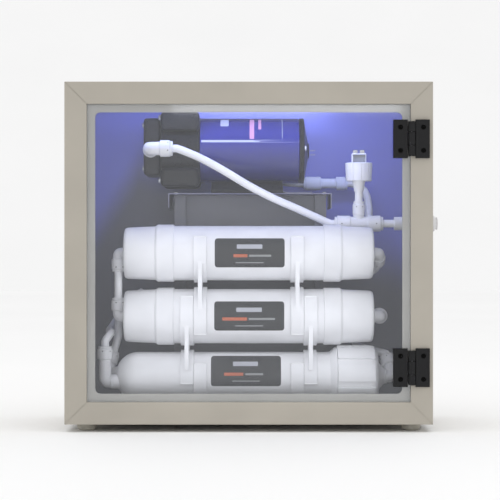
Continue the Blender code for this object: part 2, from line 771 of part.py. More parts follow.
def make_motor(unit, materials):
    """The motor's can, its end cap and its turning armature, with the eccentric cam on the shaft."""
    black = materials["black_plastic"]
    shaft = Vector((0, *PUMP))
    wall = SHEET
    can = [
        (MOTOR_X[0], MOTOR_RADIUS),
        (MOTOR_X[1], MOTOR_RADIUS),
        (MOTOR_X[1], MOTOR_RADIUS - wall),
        (MOTOR_X[0], MOTOR_RADIUS - wall),
    ]
    place(turned("pump_motor_can", can, X_AXIS, 22), unit, materials["navy_paint"], shaft)
    seat = MOTOR_X[1] + GAP
    end_cap = [
        (seat + 0.0098, 0),
        (seat + 0.0098, 0.0045),
        (seat + 0.0040, 0.0045),
        (seat + 0.0040, 0.0340),
        (seat, 0.0340),
        (seat, MOTOR_RADIUS),
        (seat + 0.0055, MOTOR_RADIUS),
        (seat + 0.0115, 0.0070),
        (seat + 0.0122, 0),
    ]
    place(turned("pump_end_cap", end_cap, X_AXIS, 22), unit, black, shaft)

    shaft_radius, shaft_x = 0.004, (-0.1000, 0.0700)
    armature_radius, armature_x = 0.0300, (-0.0350, 0.0400)
    rotor = [
        (shaft_x[0], 0),
        (shaft_x[0], shaft_radius),
        (armature_x[0], shaft_radius),
        (armature_x[0], armature_radius),
        (armature_x[1], armature_radius),
        (armature_x[1], shaft_radius),
        (shaft_x[1], shaft_radius),
        (shaft_x[1], 0),
    ]
    rotor = place(turned("pump_rotor", rotor, X_AXIS, 12), unit, materials["steel"], shaft)
    cam = turned("eccentric_cam", [(0, 0), (0, 0.014), (0.020, 0.014), (0.020, 0)], X_AXIS, 10)
    cam.location = shaft + Vector((-0.094, 0, 0.003))
    combine(rotor, cam, "UNION", unit)


def make_pump_support(unit, sheet, black):
    """The folded tray and the stand that carry the pump, and the moulded base under its motor."""
    tray_line = [
        (TRAY_X[0], TRAY_Y[0], TRAY_TOP - TRAY_EAR),
        (TRAY_X[0], TRAY_Y[0], TRAY_TOP),
        (TRAY_X[1], TRAY_Y[0], TRAY_TOP),
        (TRAY_X[1], TRAY_Y[0], TRAY_TOP - TRAY_EAR),
    ]
    tray = folded_sheet("pump_tray", tray_line, Y_AXIS, TRAY_Y[1] - TRAY_Y[0], SHEET)
    place(tray, unit, sheet)

    left, right = STAND_X
    front, rear = STAND_Y
    stand_line = [
        (left, rear, FLOOR),
        (left, front, FLOOR),
        (left + STAND_FLANGE, front, FLOOR),
        (left + STAND_FLANGE, front + STAND_STEP, FLOOR),
        (right - STAND_FLANGE, front + STAND_STEP, FLOOR),
        (right - STAND_FLANGE, front, FLOOR),
        (right, front, FLOOR),
        (right, rear, FLOOR),
    ]
    stand_top = TRAY_TOP - SHEET - GAP
    stand = folded_sheet("pump_stand", stand_line, Z_AXIS, stand_top - FLOOR, SHEET)
    place(stand, unit, sheet)

    seat_z = TRAY_TOP + GAP
    saddle = MOTOR_RADIUS + GAP + 0.0002
    saddle_half = 0.014
    base_half, base_thickness = 0.030, 0.004
    base_x = (-0.0459, 0.0416)
    outline = [(-base_half, seat_z), (base_half, seat_z), (base_half, seat_z + base_thickness)]
    steps = 6
    for i in range(steps + 1):
        y = saddle_half * (1 - 2 * i / steps)
        outline.append((y, PUMP[1] - math.sqrt(saddle**2 - y**2)))
    outline.append((-base_half, seat_z + base_thickness))
    points = [(base_x[0], PUMP[0] + y, z) for y, z in outline]
    place(prism("pump_base", points, X_AXIS, base_x[1] - base_x[0]), unit, black)


def make_tee(unit, fitting, switch_material):
    """The feed tee and the pressure switch that stands in its branch."""
    centre = Vector(TEE)
    collet, waist = 0.0189, 0.0086
    run = [
        (-TEE_HALF, 0),
        (-TEE_HALF, COLLET_RADIUS),
        (-TEE_HALF + collet, COLLET_RADIUS),
        (-TEE_HALF + collet, waist),
        (TEE_HALF - collet, waist),
        (TEE_HALF - collet, COLLET_RADIUS),
        (TEE_HALF, COLLET_RADIUS),
        (TEE_HALF, 0),
    ]
    tee = place(turned("feed_tee", run, X_AXIS, 12), unit, fitting, centre)
    branch_top = 0.0270
    branch = turned(
        "tee_branch",
        [(0, 0), (0, 0.0068), (0.0110, 0.0068), (0.0112, 0.0076), (branch_top, 0.0076), (branch_top, 0)],
        Z_AXIS,
        12,
    )
    branch.location = centre
    combine(tee, branch, "UNION", unit)
    open_end = TEE_HALF + 0.001
    socket_end = TEE_HALF - SOCKET_DEPTH
    bore = turned(
        "tee_bore",
        [
            (-open_end, 0),
            (-open_end, SOCKET_RADIUS),
            (-socket_end, SOCKET_RADIUS),
            (-socket_end, BORE_RADIUS),
            (socket_end, BORE_RADIUS),
            (socket_end, SOCKET_RADIUS),
            (open_end, SOCKET_RADIUS),
            (open_end, 0),
        ],
        X_AXIS,
        12,
    )
    bore.location = centre
    combine(tee, bore, "DIFFERENCE", unit)
    branch_floor = branch_top - SOCKET_DEPTH
    branch_bore = turned(
        "tee_branch_bore",
        [
            (0, 0),
            (0, BORE_RADIUS),
            (branch_floor, BORE_RADIUS),
            (branch_floor, SOCKET_RADIUS + 0.0001),
            (branch_top + 0.001, SOCKET_RADIUS + 0.0001),
            (branch_top + 0.001, 0),
        ],
        Z_AXIS,
        12,
    )
    branch_bore.location = centre
    combine(tee, branch_bore, "DIFFERENCE", unit)

    body = [
        (branch_floor + 0.001, 0),
        (branch_floor + 0.001, TUBE_RADIUS + 0.0001),
        (0.0389, TUBE_RADIUS + 0.0001),
        (0.0389, 0.0056),
        (0.0515, 0.0078),
        (0.0515, 0.0155),
        (0.0530, 0.0162),
        (0.0735, 0.0162),
        (0.0735, 0),
    ]
    switch = place(turned("pressure_switch", body, Z_AXIS, 12), unit, switch_material, centre)
    crown_low = centre + Vector((-0.0089, -0.0070, 0.0730))
    crown_high = centre + Vector((0.0089, 0.0070, 0.0850))
    combine(switch, block("switch_crown", crown_low, crown_high), "UNION", unit)
    terminal_low = centre + Vector((-0.0070, -0.0040, 0.0845))
    terminal_high = centre + Vector((0.0070, 0.0040, 0.0892))
    combine(switch, block("switch_terminals", terminal_low, terminal_high), "UNION", unit)


def make_check_valve(unit, fitting):
    half = CHECK_VALVE_HALF
    profile = [
        (-half, SOCKET_RADIUS),
        (-half, 0.0085),
        (-half + 0.022, 0.0085),
        (-half + 0.023, 0.0062),
        (half - 0.015, 0.0062),
        (half - 0.014, 0.0085),
        (half, 0.0085),
        (half, SOCKET_RADIUS),
    ]
    place(turned("check_valve", profile, X_AXIS, 12), unit, fitting, CHECK_VALVE)


# Where the two outlets leave the membrane's domed end, as y, z
MEMBRANE_PORTS = {"permeate": (0.0420, 0.0560), "drain": (0.0640, 0.0640)}

# Each elbow: corner, stem direction, stem length, how far the stem is in its port, arm direction, arm
# length, collar radius
ELBOWS = {
    "upper_filter_left": ((-0.1558, 0.050, 0.2088), (1, 0, 0), 0.0122, 0.0028, (0, 0, -1), 0.0220, 0.0083),
    "upper_filter_right": ((0.1558, 0.05, 0.2088), (-1, 0, 0), 0.0122, 0.0028, (0, 7, -4), 0.024, 0.0083),
    "lower_filter_left": ((-0.1558, 0.050, 0.1335), (1, 0, 0), 0.0122, 0.0028, (0, 0, 1), 0.0220, 0.0083),
    "lower_filter_right": ((0.1572, 0.050, 0.1335), (-1, 0, 0), 0.0136, 0.0028, (0, 1, 0), 0.0245, 0.0095),
    "membrane_inlet": ((0.1708, 0.05, 0.0618), (-1, 0, 0), 0.0190, 0.0102, (-0.15, 0.64, 0.75), 0.03, 0.0095),
    "permeate": ((-0.1709, 0.042, 0.0560), (1, 0, 0), 0.0190, 0.0096, (0, 0, 1), 0.0420, 0.0092),
    "drain": ((-0.1700, 0.064, 0.0640), (1, 0, 0), 0.0180, 0.0095, (0.24, 0.36, 0.90), 0.0280, 0.0080),
}


def make_elbows(unit, fitting):
    for name, (corner, stem, stem_length, engaged, arm, arm_length, collar) in ELBOWS.items():
        place_and_stem = (Vector(corner), Vector(stem), stem_length, engaged)
        elbow(f"{name}_elbow", unit, fitting, *place_and_stem, Vector(arm), arm_length, collar)


def socket_points(name, lead=0.006):
    """The bottom of an elbow's socket, its mouth, and a point a little way straight out of it."""
    corner, _, _, _, arm, arm_length, _ = ELBOWS[name]
    direction = Vector(arm).normalized()
    start = Vector(corner)
    inside = arm_length - SOCKET_DEPTH + 0.001
    return [start + direction * reach for reach in (inside, arm_length, arm_length + lead)]


def make_tubes(unit, material):
    """The lengths of tube, each from the bottom of one socket to the bottom of the next."""
    lead = 0.005
    socket = SOCKET_DEPTH - 0.001
    feed_y, feed_z = FEED_PORT
    tee_x, tee_y, tee_z = TEE
    tee_left, tee_right = tee_x - TEE_HALF, tee_x + TEE_HALF
    port_end = WIDTH / 2 - PORT_INSIDE
    tube("feed_tube", unit, material, [
        (tee_right - socket, tee_y, tee_z),
        (port_end + socket, feed_y, feed_z),
    ])
    inlet_x, port_z = PUMP_ELBOW_X + PUMP_ELBOW_ARM, PUMP_PORT_Z
    inlet_y, outlet_y = PUMP[0] - PUMP_ELBOW_REACH, PUMP[0] + PUMP_ELBOW_REACH
    tube("pump_inlet_tube", unit, material, [
        (inlet_x - socket, inlet_y, port_z),
        (inlet_x, inlet_y, port_z),
        (inlet_x + lead, inlet_y, port_z),
        (-0.0585, 0.0525, 0.3229),
        (-0.0297, 0.0540, 0.3074),
        (-0.0009, 0.0570, 0.2903),
        (0.0281, 0.0620, 0.2754),
        (0.0572, 0.0690, 0.2628),
        (0.0800, 0.0762, 0.2528),
        (tee_left - lead, tee_y, tee_z),
        (tee_left, tee_y, tee_z),
        (tee_left + socket, tee_y, tee_z),
    ])
    valve_x, valve_y, valve_z = CHECK_VALVE
    tube("pump_outlet_tube", unit, material, [
        (inlet_x - socket, outlet_y, port_z),
        (inlet_x, outlet_y, port_z),
        (inlet_x + lead, outlet_y, port_z),
        (-0.0450, outlet_y, 0.3290),
        (0.0000, outlet_y, 0.3130),
        (0.0380, outlet_y, 0.2998),
        (valve_x - CHECK_VALVE_HALF - lead, valve_y, valve_z),
        (valve_x - CHECK_VALVE_HALF, valve_y, valve_z),
        (valve_x + CHECK_VALVE_HALF, valve_y, valve_z),
        (valve_x + CHECK_VALVE_HALF + lead, valve_y, valve_z),
        (0.1460, 0.1745, 0.2880),
        (0.1515, 0.1680, 0.2660),
        (0.1490, 0.1560, 0.2360),
        (0.1430, 0.1400, 0.2090),
        (0.1390, 0.1200, 0.1920),
        (0.1440, 0.1010, 0.1860),
        (0.1520, 0.0870, 0.1885),
        *reversed(socket_points("upper_filter_right", 0.004)),
    ])
    tube("filter_link_tube", unit, material, [
        socket_points("upper_filter_left")[0],
        socket_points("lower_filter_left")[0],
    ])
    tube("membrane_feed_tube", unit, material, [
        *socket_points("lower_filter_right"),
        (0.1500, 0.1000, 0.1290),
        (0.1350, 0.1110, 0.1140),
        (0.1310, 0.1060, 0.0990),
        (0.1400, 0.0910, 0.0930),
        *reversed(socket_points("membrane_inlet", 0.004)),
    ])
    port_y = BACK_PANEL_Y + SHEET - PORT_INSIDE
    outlets = {
        "permeate": [
            (-0.1655, 0.0520, 0.1125),
            (-0.1650, 0.0640, 0.1140),
            (-0.1690, 0.0830, 0.1150),
            (-0.1680, 0.1030, 0.1180),
            (-0.1580, 0.1300, 0.1330),
        ],
        "drain": [
            (-0.1580, 0.0800, 0.1100),
            (-0.1570, 0.0830, 0.1270),
            (-0.1470, 0.0940, 0.1420),
            (-0.1250, 0.1150, 0.1500),
            (-0.1070, 0.1380, 0.1505),
        ],
    }
    for name, route in outlets.items():
        x, z = BACK_PORTS[name]
        ends = [(x, port_y - lead, z), (x, port_y, z), (x, port_y + socket, z)]
        tube(f"{name}_tube", unit, material, [*socket_points(name), *route, *ends])


def main():
    clear_scene()
    unit = make_unit()
    materials = make_materials()
    fitting = materials["fitting_plastic"]
    white = materials["white_plastic"]
    make_cabinet(unit, materials["powder_coat"], materials["inner_sheet"])
    make_door_stop(unit, materials["powder_coat"])
    make_feet(unit, materials["foot_rubber"])
    make_door(unit, materials["acrylic"])
    make_hinges(unit, materials["black_plastic"], materials["steel"])
    make_port("feed", unit, fitting, fitting, (WIDTH / 2, *FEED_PORT), X_AXIS)
    for name, (x, z) in BACK_PORTS.items():
        make_port(name, unit, fitting, fitting, (x, BACK_PANEL_Y + SHEET, z), Y_AXIS)
    for name, z in FILTER_Z.items():
        make_filter(name, unit, white, materials["filter_media"], z)
    make_membrane(unit, white, materials["filter_media"])
    make_clips(unit, white)
    make_pump_head(unit, materials["black_plastic"], fitting)
    make_motor(unit, materials)
    make_pump_support(unit, materials["inner_sheet"], materials["black_plastic"])
    make_tee(unit, fitting, white)
    make_check_valve(unit, fitting)
    make_elbows(unit, fitting)
    make_tubes(unit, materials["tube_white"])


main()
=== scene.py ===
"""Reverse osmosis unit: the looks of a cabinet water purifier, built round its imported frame.

Lengths are in metres. Places are given from the cabinet: x runs right from its centre line, y is the
depth behind its front face, and z is the height above the surface that it stands on.
"""

import math

import bpy
from bpy.props import FloatProperty, FloatVectorProperty, IntProperty, PointerProperty
from bpy.types import Operator, Panel, PropertyGroup
from mathutils import Matrix, Vector


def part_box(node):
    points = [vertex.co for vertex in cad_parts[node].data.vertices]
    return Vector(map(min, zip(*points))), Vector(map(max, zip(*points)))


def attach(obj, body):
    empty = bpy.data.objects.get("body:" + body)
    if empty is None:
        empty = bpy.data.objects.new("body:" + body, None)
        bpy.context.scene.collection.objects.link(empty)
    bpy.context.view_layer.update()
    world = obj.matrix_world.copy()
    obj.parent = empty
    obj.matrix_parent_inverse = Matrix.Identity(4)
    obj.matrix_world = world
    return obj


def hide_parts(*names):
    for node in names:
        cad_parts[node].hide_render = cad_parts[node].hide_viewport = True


bl_info = {
    "name": "Reverse Osmosis Unit", "version": (1, 0, 0), "blender": (4, 5, 0),
    "location": "View3D > Sidebar > Water Unit",
    "description": "Builds a cabinet water purifier with its pump, filters, membrane and tubing",
    "category": "Add Mesh",
}

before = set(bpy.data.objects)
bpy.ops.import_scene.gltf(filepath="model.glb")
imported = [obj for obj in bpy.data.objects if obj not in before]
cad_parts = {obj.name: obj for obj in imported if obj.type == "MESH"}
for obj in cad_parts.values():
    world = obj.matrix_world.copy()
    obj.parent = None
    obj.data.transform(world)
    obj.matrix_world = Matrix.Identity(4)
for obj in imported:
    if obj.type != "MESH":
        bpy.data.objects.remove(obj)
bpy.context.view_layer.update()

X_AXIS = Vector((1, 0, 0))
Y_AXIS = Vector((0, 1, 0))
Z_AXIS = Vector((0, 0, 1))
TOUCH = 1e-6  # points closer than this are one
SLIVER = 1e-5  # the same for a piece made by many cuts and joins
CORNERS = ((-1, -1), (-1, 1), (1, -1), (1, 1))
SUNK = 0.0003  # how far a small part reaches into what carries it

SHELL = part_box("cabinet_shell")
CENTRE_X = (SHELL[0].x + SHELL[1].x) / 2
FRONT_Y = SHELL[0].y
BOTTOM = SHELL[0].z
TOP = SHELL[1].z
HALF_WIDTH = (SHELL[1].x - SHELL[0].x) / 2
FACE_WIDTH = 0.026
BACK = 0.1998  # the back panel's outer face


def at(x, y, z):
    """A point of the cabinet, in the frame that all pieces share."""
    return Vector((CENTRE_X + x, FRONT_Y + y, z))


def middle(node):
    low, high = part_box(node)
    return (low + high) / 2


# ---------------------------------------------------------------- settings


class StageSettings(PropertyGroup):
    distance: FloatProperty(
        name="Camera distance", description="From the cabinet's front face", default=2.0, unit="LENGTH"
    )
    lens: FloatProperty(name="Lens", description="Focal length in millimetres", default=123.5, min=20)
    key: FloatProperty(name="Key light", description="Power of the large front light", default=1.6, min=0)
    sky: FloatProperty(name="Sky", description="Strength of the even light all round", default=0.95, min=0)
    glow: FloatProperty(name="Inner glow", description="Power of the doorway light", default=0.195, min=0)


class CabinetSettings(PropertyGroup):
    paint: FloatVectorProperty(
        name="Paint", description="Colour of the powder coat", subtype="COLOR", default=(0.425, 0.393, 0.338)
    )
    fold: FloatProperty(
        name="Fold radius", description="Rounding of the sheet's folds", default=0.0014, unit="LENGTH"
    )
    seam: FloatProperty(
        name="Mitre seam", description="Width of the seams at the corners", default=0.0005, unit="LENGTH"
    )
    grain: FloatProperty(
        name="Paint grain", description="Size of the powder coat's orange peel", default=0.0011, unit="LENGTH"
    )


class FilterSettings(PropertyGroup):
    sides: IntProperty(name="Sides", description="Sides of a round filter part", default=72, min=16)
    plastic: FloatVectorProperty(
        name="Plastic", description="Colour of the shells", subtype="COLOR", default=(0.80, 0.80, 0.815)
    )
    label: FloatVectorProperty(
        name="Label", description="Colour of the printed film", subtype="COLOR", default=(0.024, 0.024, 0.025)
    )
    accent: FloatVectorProperty(
        name="Accent", description="Colour of the short bar", subtype="COLOR", default=(0.50, 0.12, 0.05)
    )


class PumpSettings(PropertyGroup):
    can: FloatVectorProperty(
        name="Motor", description="Colour of the motor can", subtype="COLOR", default=(0.018, 0.020, 0.155)
    )
    sides: IntProperty(name="Sides", description="Sides of the motor can", default=96, min=16)


class TubingSettings(PropertyGroup):
    sides: IntProperty(name="Sides", description="Sides of a fitting", default=40, min=12)
    radius: FloatProperty(
        name="Tube radius", description="Half of the tube's outer diameter", default=0.00475, unit="LENGTH"
    )
    spacing: FloatProperty(
        name="Spacing", description="Distance between a tube's rings", default=0.004, unit="LENGTH"
    )


# ---------------------------------------------------------------- modelling


def only(*pieces):
    bpy.ops.object.select_all(action="DESELECT")
    for piece in pieces:
        piece.select_set(True)
    bpy.context.view_layer.objects.active = pieces[0]


def added(name, add, **how):
    """Adds a primitive with nothing else selected."""
    bpy.ops.object.select_all(action="DESELECT")
    add(**how)
    piece = bpy.context.object
    piece.name = piece.data.name = name
    return piece


def settle(piece):
    """Puts a piece's place, turn and size into its mesh."""
    only(piece)
    bpy.ops.object.transform_apply(location=True, rotation=True, scale=True)
    return piece


def apply_modifier(piece, kind, **values):
    modifier = piece.modifiers.new(kind.lower(), kind)
    for key, value in values.items():
        setattr(modifier, key, value)
    only(piece)
    bpy.ops.object.modifier_apply(modifier=modifier.name)
    return piece


def soften(piece, width, segments=2, angle=30):
    """Rounds a piece's edges."""
    return apply_modifier(
        piece, "BEVEL", width=width, segments=segments, limit_method="ANGLE",
        angle_limit=math.radians(angle),
    )


def boolean(piece, tool, operation="DIFFERENCE", gap=0.0):
    """Cuts or joins; a gap closes slivers that small, which would mislead the next cut."""
    apply_modifier(piece, "BOOLEAN", object=tool, operation=operation, solver="EXACT")
    bpy.data.objects.remove(tool)
    return outward(piece, gap) if gap else piece


def pick_faces(piece, wanted):
    """Selects the faces that a rule names, and leaves the piece open for editing."""
    only(piece)
    bpy.ops.object.mode_set(mode="EDIT")
    bpy.ops.mesh.select_mode(type="FACE")
    bpy.ops.mesh.select_all(action="DESELECT")
    bpy.ops.object.mode_set(mode="OBJECT")
    for face in piece.data.polygons:
        face.select = wanted(face)
    bpy.ops.object.mode_set(mode="EDIT")


def close_edit():
    bpy.ops.mesh.select_mode(type="VERT")
    bpy.ops.object.mode_set(mode="OBJECT")


def joined(name, pieces):
    """Several solids in one object."""
    only(*pieces)
    if len(pieces) > 1:
        bpy.ops.object.join()
    pieces[0].name = pieces[0].data.name = name
    return pieces[0]


def outward(piece, gap=TOUCH):
    """Merges points closer than gap and turns every face outwards."""
    only(piece)
    bpy.ops.object.mode_set(mode="EDIT")
    bpy.ops.mesh.select_all(action="SELECT")
    bpy.ops.mesh.remove_doubles(threshold=gap)
    bpy.ops.mesh.normals_make_consistent(inside=False)
    bpy.ops.object.mode_set(mode="OBJECT")
    return piece


def turn(name, centre, axis, profile, sides=40):
    """Turns a solid about an axis through centre.

    A ring is drawn at the profile's first (distance, radius), then extruded and scaled to each of the
    others. A profile that ends where it starts makes a hollow ring.
    """
    axis = Vector(axis).normalized()
    hollow = profile[0] == profile[-1]
    distance, radius = profile[0]
    piece = added(
        name, bpy.ops.mesh.primitive_circle_add, vertices=sides, radius=radius,
        fill_type="NOTHING" if hollow else "NGON", location=centre + axis * distance,
        rotation=axis.to_track_quat("Z", "Y").to_euler(),
    )
    settle(piece)
    bpy.ops.object.mode_set(mode="EDIT")
    bpy.ops.mesh.select_all(action="SELECT")
    for further, wider in profile[1:]:
        step = axis * (further - distance)
        bpy.ops.mesh.extrude_region_move(TRANSFORM_OT_translate={"value": step})
        if wider != radius:
            ratio = wider / radius
            bpy.ops.transform.resize(value=(ratio, ratio, ratio), center_override=centre + axis * further)
        distance, radius = further, wider
    bpy.ops.object.mode_set(mode="OBJECT")
    return outward(piece)


def box(name, low, high, edge=0.0, segments=2):
    """A block between two corners, with its edges rounded."""
    piece = added(name, bpy.ops.mesh.primitive_cube_add, size=1, location=(low + high) / 2)
    piece.scale = high - low
    settle(piece)
    return soften(piece, edge, segments) if edge else piece


def prism(name, outline, direction):
    """A flat outline, drawn point by point, filled and extruded."""
    piece = added(name, bpy.ops.mesh.primitive_plane_add, size=1)
    bpy.ops.object.mode_set(mode="EDIT")
    bpy.ops.mesh.delete(type="ONLY_FACE")
    bpy.ops.mesh.select_all(action="SELECT")
    bpy.ops.mesh.merge(type="CENTER")
    bpy.ops.transform.translate(value=outline[0])
    for one, other in zip(outline, outline[1:]):
        bpy.ops.mesh.extrude_region_move(TRANSFORM_OT_translate={"value": other - one})
    bpy.ops.mesh.select_all(action="SELECT")
    bpy.ops.mesh.edge_face_add()
    bpy.ops.mesh.extrude_region_move(TRANSFORM_OT_translate={"value": direction})
    bpy.ops.object.mode_set(mode="OBJECT")
    return outward(piece)


def copied(node, name):
    """A copy of a frame part's mesh, merged and with its flat faces joined up."""
    piece = bpy.data.objects.new(name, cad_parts[node].data.copy())
    bpy.context.scene.collection.objects.link(piece)
    only(piece)
    bpy.ops.object.mode_set(mode="EDIT")
    bpy.ops.mesh.select_all(action="SELECT")
    bpy.ops.mesh.remove_doubles(threshold=TOUCH)
    bpy.ops.mesh.dissolve_limited(angle_limit=math.radians(1))
    bpy.ops.mesh.customdata_custom_splitnormals_clear()
    bpy.ops.object.mode_set(mode="OBJECT")
    return piece


def fit(piece, material, slot, body="root", nodes=(), angle=35):
    """Gives a finished piece its finish, the body it moves with and the parts that it stands for."""
    only(piece)
    bpy.ops.object.shade_smooth_by_angle(angle=math.radians(angle))
    apply_modifier(piece, "WEIGHTED_NORMAL", keep_sharp=True)
    piece.data.materials.clear()
    piece.data.materials.append(bpy.data.materials[material])
    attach(piece, body)
    if nodes:
        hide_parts(*nodes)
    return piece


def paint_node(node, material):
    """Gives a frame part that stays as it is a better finish."""
    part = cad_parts[node]
    part.data.materials.clear()
    part.data.materials.append(bpy.data.materials[material])


def screw(name, place, axis, head_radius, head_height, socket=0.0):
    """A screw's head, with its top face away from axis's start, and a hexagonal socket if it has one."""
    profile = [
        (-0.002, head_radius * 0.5), (0, head_radius * 0.5), (0, head_radius),
        (head_height * 0.6, head_radius), (head_height * 0.9, head_radius * 0.86),
        (head_height, head_radius * 0.66),
    ]
    head = turn(name, place, axis, profile, 24)
    if socket:
        start, depth = head_height * 0.35, head_height
        tool = turn("socket", place, axis, [(start, socket), (start + depth, socket)], 6)
        boolean(head, tool)
    return head


# ---------------------------------------------------------------- finishes


def new_material(name, colour, roughness, **sockets):
    material = bpy.data.materials.new(name)
    material.use_nodes = True
    fill_sockets(principled(material), Base_Color=(*colour, 1), Roughness=roughness, **sockets)
    return material


def principled(material):
    return material.node_tree.nodes["Principled BSDF"]


def fill_sockets(node, **sockets):
    """Sets a node's sockets, named with underscores for their spaces."""
    for socket, value in sockets.items():
        node.inputs[socket.replace("_", " ")].default_value = value


def shader_node(material, kind, **sockets):
    node = material.node_tree.nodes.new(kind)
    fill_sockets(node, **sockets)
    return node


def link(material, source, output, target, socket):
    material.node_tree.links.new(source.outputs[output], target.inputs[socket])


def noise(material, size, detail=2.0, stretch=(1, 1, 1)):
    """Noise on the piece's own coordinates, with features about size metres across."""
    place = shader_node(material, "ShaderNodeTexCoord")
    mapping = shader_node(material, "ShaderNodeMapping", Scale=stretch)
    texture = shader_node(material, "ShaderNodeTexNoise", Scale=1 / size, Detail=detail)
    link(material, place, "Object", mapping, "Vector")
    link(material, mapping, "Vector", texture, "Vector")
    return texture


def ramp(material, source, output, low, high, start=0.3, end=0.7):
    """Gives the material a base colour that runs from low to high over part of a value's range."""
    colours = shader_node(material, "ShaderNodeValToRGB")
    first, last = colours.color_ramp.elements
    first.position, last.position = start, end
    first.color, last.color = (*low, 1), (*high, 1)
    link(material, source, output, colours, "Fac")
    link(material, colours, "Color", principled(material), "Base Color")


def roughen(material, texture, low, high):
    """Roughness that varies between two values."""
    spread = shader_node(material, "ShaderNodeMapRange", From_Min=0.3, From_Max=0.7, To_Min=low, To_Max=high)
    link(material, texture, "Fac", spread, "Value")
    link(material, spread, "Result", principled(material), "Roughness")


def emboss(material, texture, height):
    """A fine relief from a texture, height metres deep."""
    bump = shader_node(material, "ShaderNodeBump", Strength=1.0, Distance=height)
    link(material, texture, "Fac", bump, "Height")
    link(material, bump, "Normal", principled(material), "Normal")


def scaled(colour, share):
    return tuple(channel * share for channel in colour)


def make_powder_coat(name, colour, grain):
    material = new_material(name, colour, 0.5)
    ramp(material, noise(material, 0.06), "Fac", scaled(colour, 0.96), scaled(colour, 1.04))
    peel = noise(material, grain, 3.0)
    roughen(material, peel, 0.42, 0.58)
    emboss(material, peel, 0.00006)


def make_moulding(name, colour, roughness, relief=0.00003, **sockets):
    """Injection-moulded plastic: a faint mottle, uneven gloss and a fine skin."""
    material = new_material(name, colour, roughness, **sockets)
    flow = noise(material, 0.03)
    ramp(material, flow, "Fac", scaled(colour, 0.95), scaled(colour, 1.03))
    skin = noise(material, 0.0012, 2.0)
    roughen(material, skin, roughness * 0.85, roughness * 1.2)
    emboss(material, skin, relief)


def make_lining_painted_light():
    """Satin sheet with painted light: a painted blue light at the top and the right fades to painted grey
    shade towards the floor and the left.
    """
    # The grey is painted shade low down and the blue is painted blue light high up.
    grey, blue = (0.135, 0.135, 0.160), (0.215, 0.230, 0.66)
    material = new_material("lining", blue, 0.36, Metallic=0.15)
    place = shader_node(material, "ShaderNodeTexCoord")
    # The slant makes the painted light stronger towards the right, and the corner term adds painted light
    # near the left wall.
    slant = shader_node(material, "ShaderNodeVectorMath")
    slant.operation = "DOT_PRODUCT"
    slant.inputs[1].default_value = (0.40, 0, 1)
    sides = shader_node(material, "ShaderNodeSeparateXYZ")
    corner = shader_node(material, "ShaderNodeMapRange", To_Max=0.150)
    fill_sockets(corner, From_Min=CENTRE_X - 0.140, From_Max=CENTRE_X - 0.215)
    total = shader_node(material, "ShaderNodeMath")
    spread = shader_node(material, "ShaderNodeMapRange", From_Min=BOTTOM + 0.215, From_Max=TOP - 0.105)
    spread.interpolation_type = "SMOOTHSTEP"
    link(material, place, "Object", slant, 0)
    link(material, place, "Object", sides, "Vector")
    link(material, sides, "X", corner, "Value")
    link(material, slant, "Value", total, 0)
    link(material, corner, "Result", total, 1)
    link(material, total, "Value", spread, "Value")
    ramp(material, spread, "Result", grey, blue, 0.0, 1.0)
    rolled = noise(material, 0.0009, 2.0, (0.04, 1, 1))
    roughen(material, rolled, 0.30, 0.42)
    emboss(material, rolled, 0.00001)


def make_steel(name, colour, roughness, stretch):
    material = new_material(name, colour, roughness, Metallic=1.0)
    brushed = noise(material, 0.0006, 3.0, stretch)
    roughen(material, brushed, roughness * 0.75, roughness * 1.35)
    emboss(material, brushed, 0.00001)


def make_clear_sheet():
    """Polished acrylic: what is behind it shows through, under the reflection of each face."""
    material = new_material("clear_acrylic", (0.86, 0.88, 0.92), 0.04, Metallic=1.0)
    through = shader_node(material, "ShaderNodeBsdfTransparent", Color=(0.985, 0.99, 1.0, 1))
    facing = shader_node(material, "ShaderNodeLayerWeight", Blend=0.35)
    share = shader_node(material, "ShaderNodeMapRange", To_Min=0.055, To_Max=0.75)
    mix = shader_node(material, "ShaderNodeMixShader")
    link(material, facing, "Facing", share, "Value")
    link(material, share, "Result", mix, "Fac")
    link(material, through, "BSDF", mix, 1)
    link(material, principled(material), "BSDF", mix, 2)
    link(material, mix, "Shader", material.node_tree.nodes["Material Output"], "Surface")


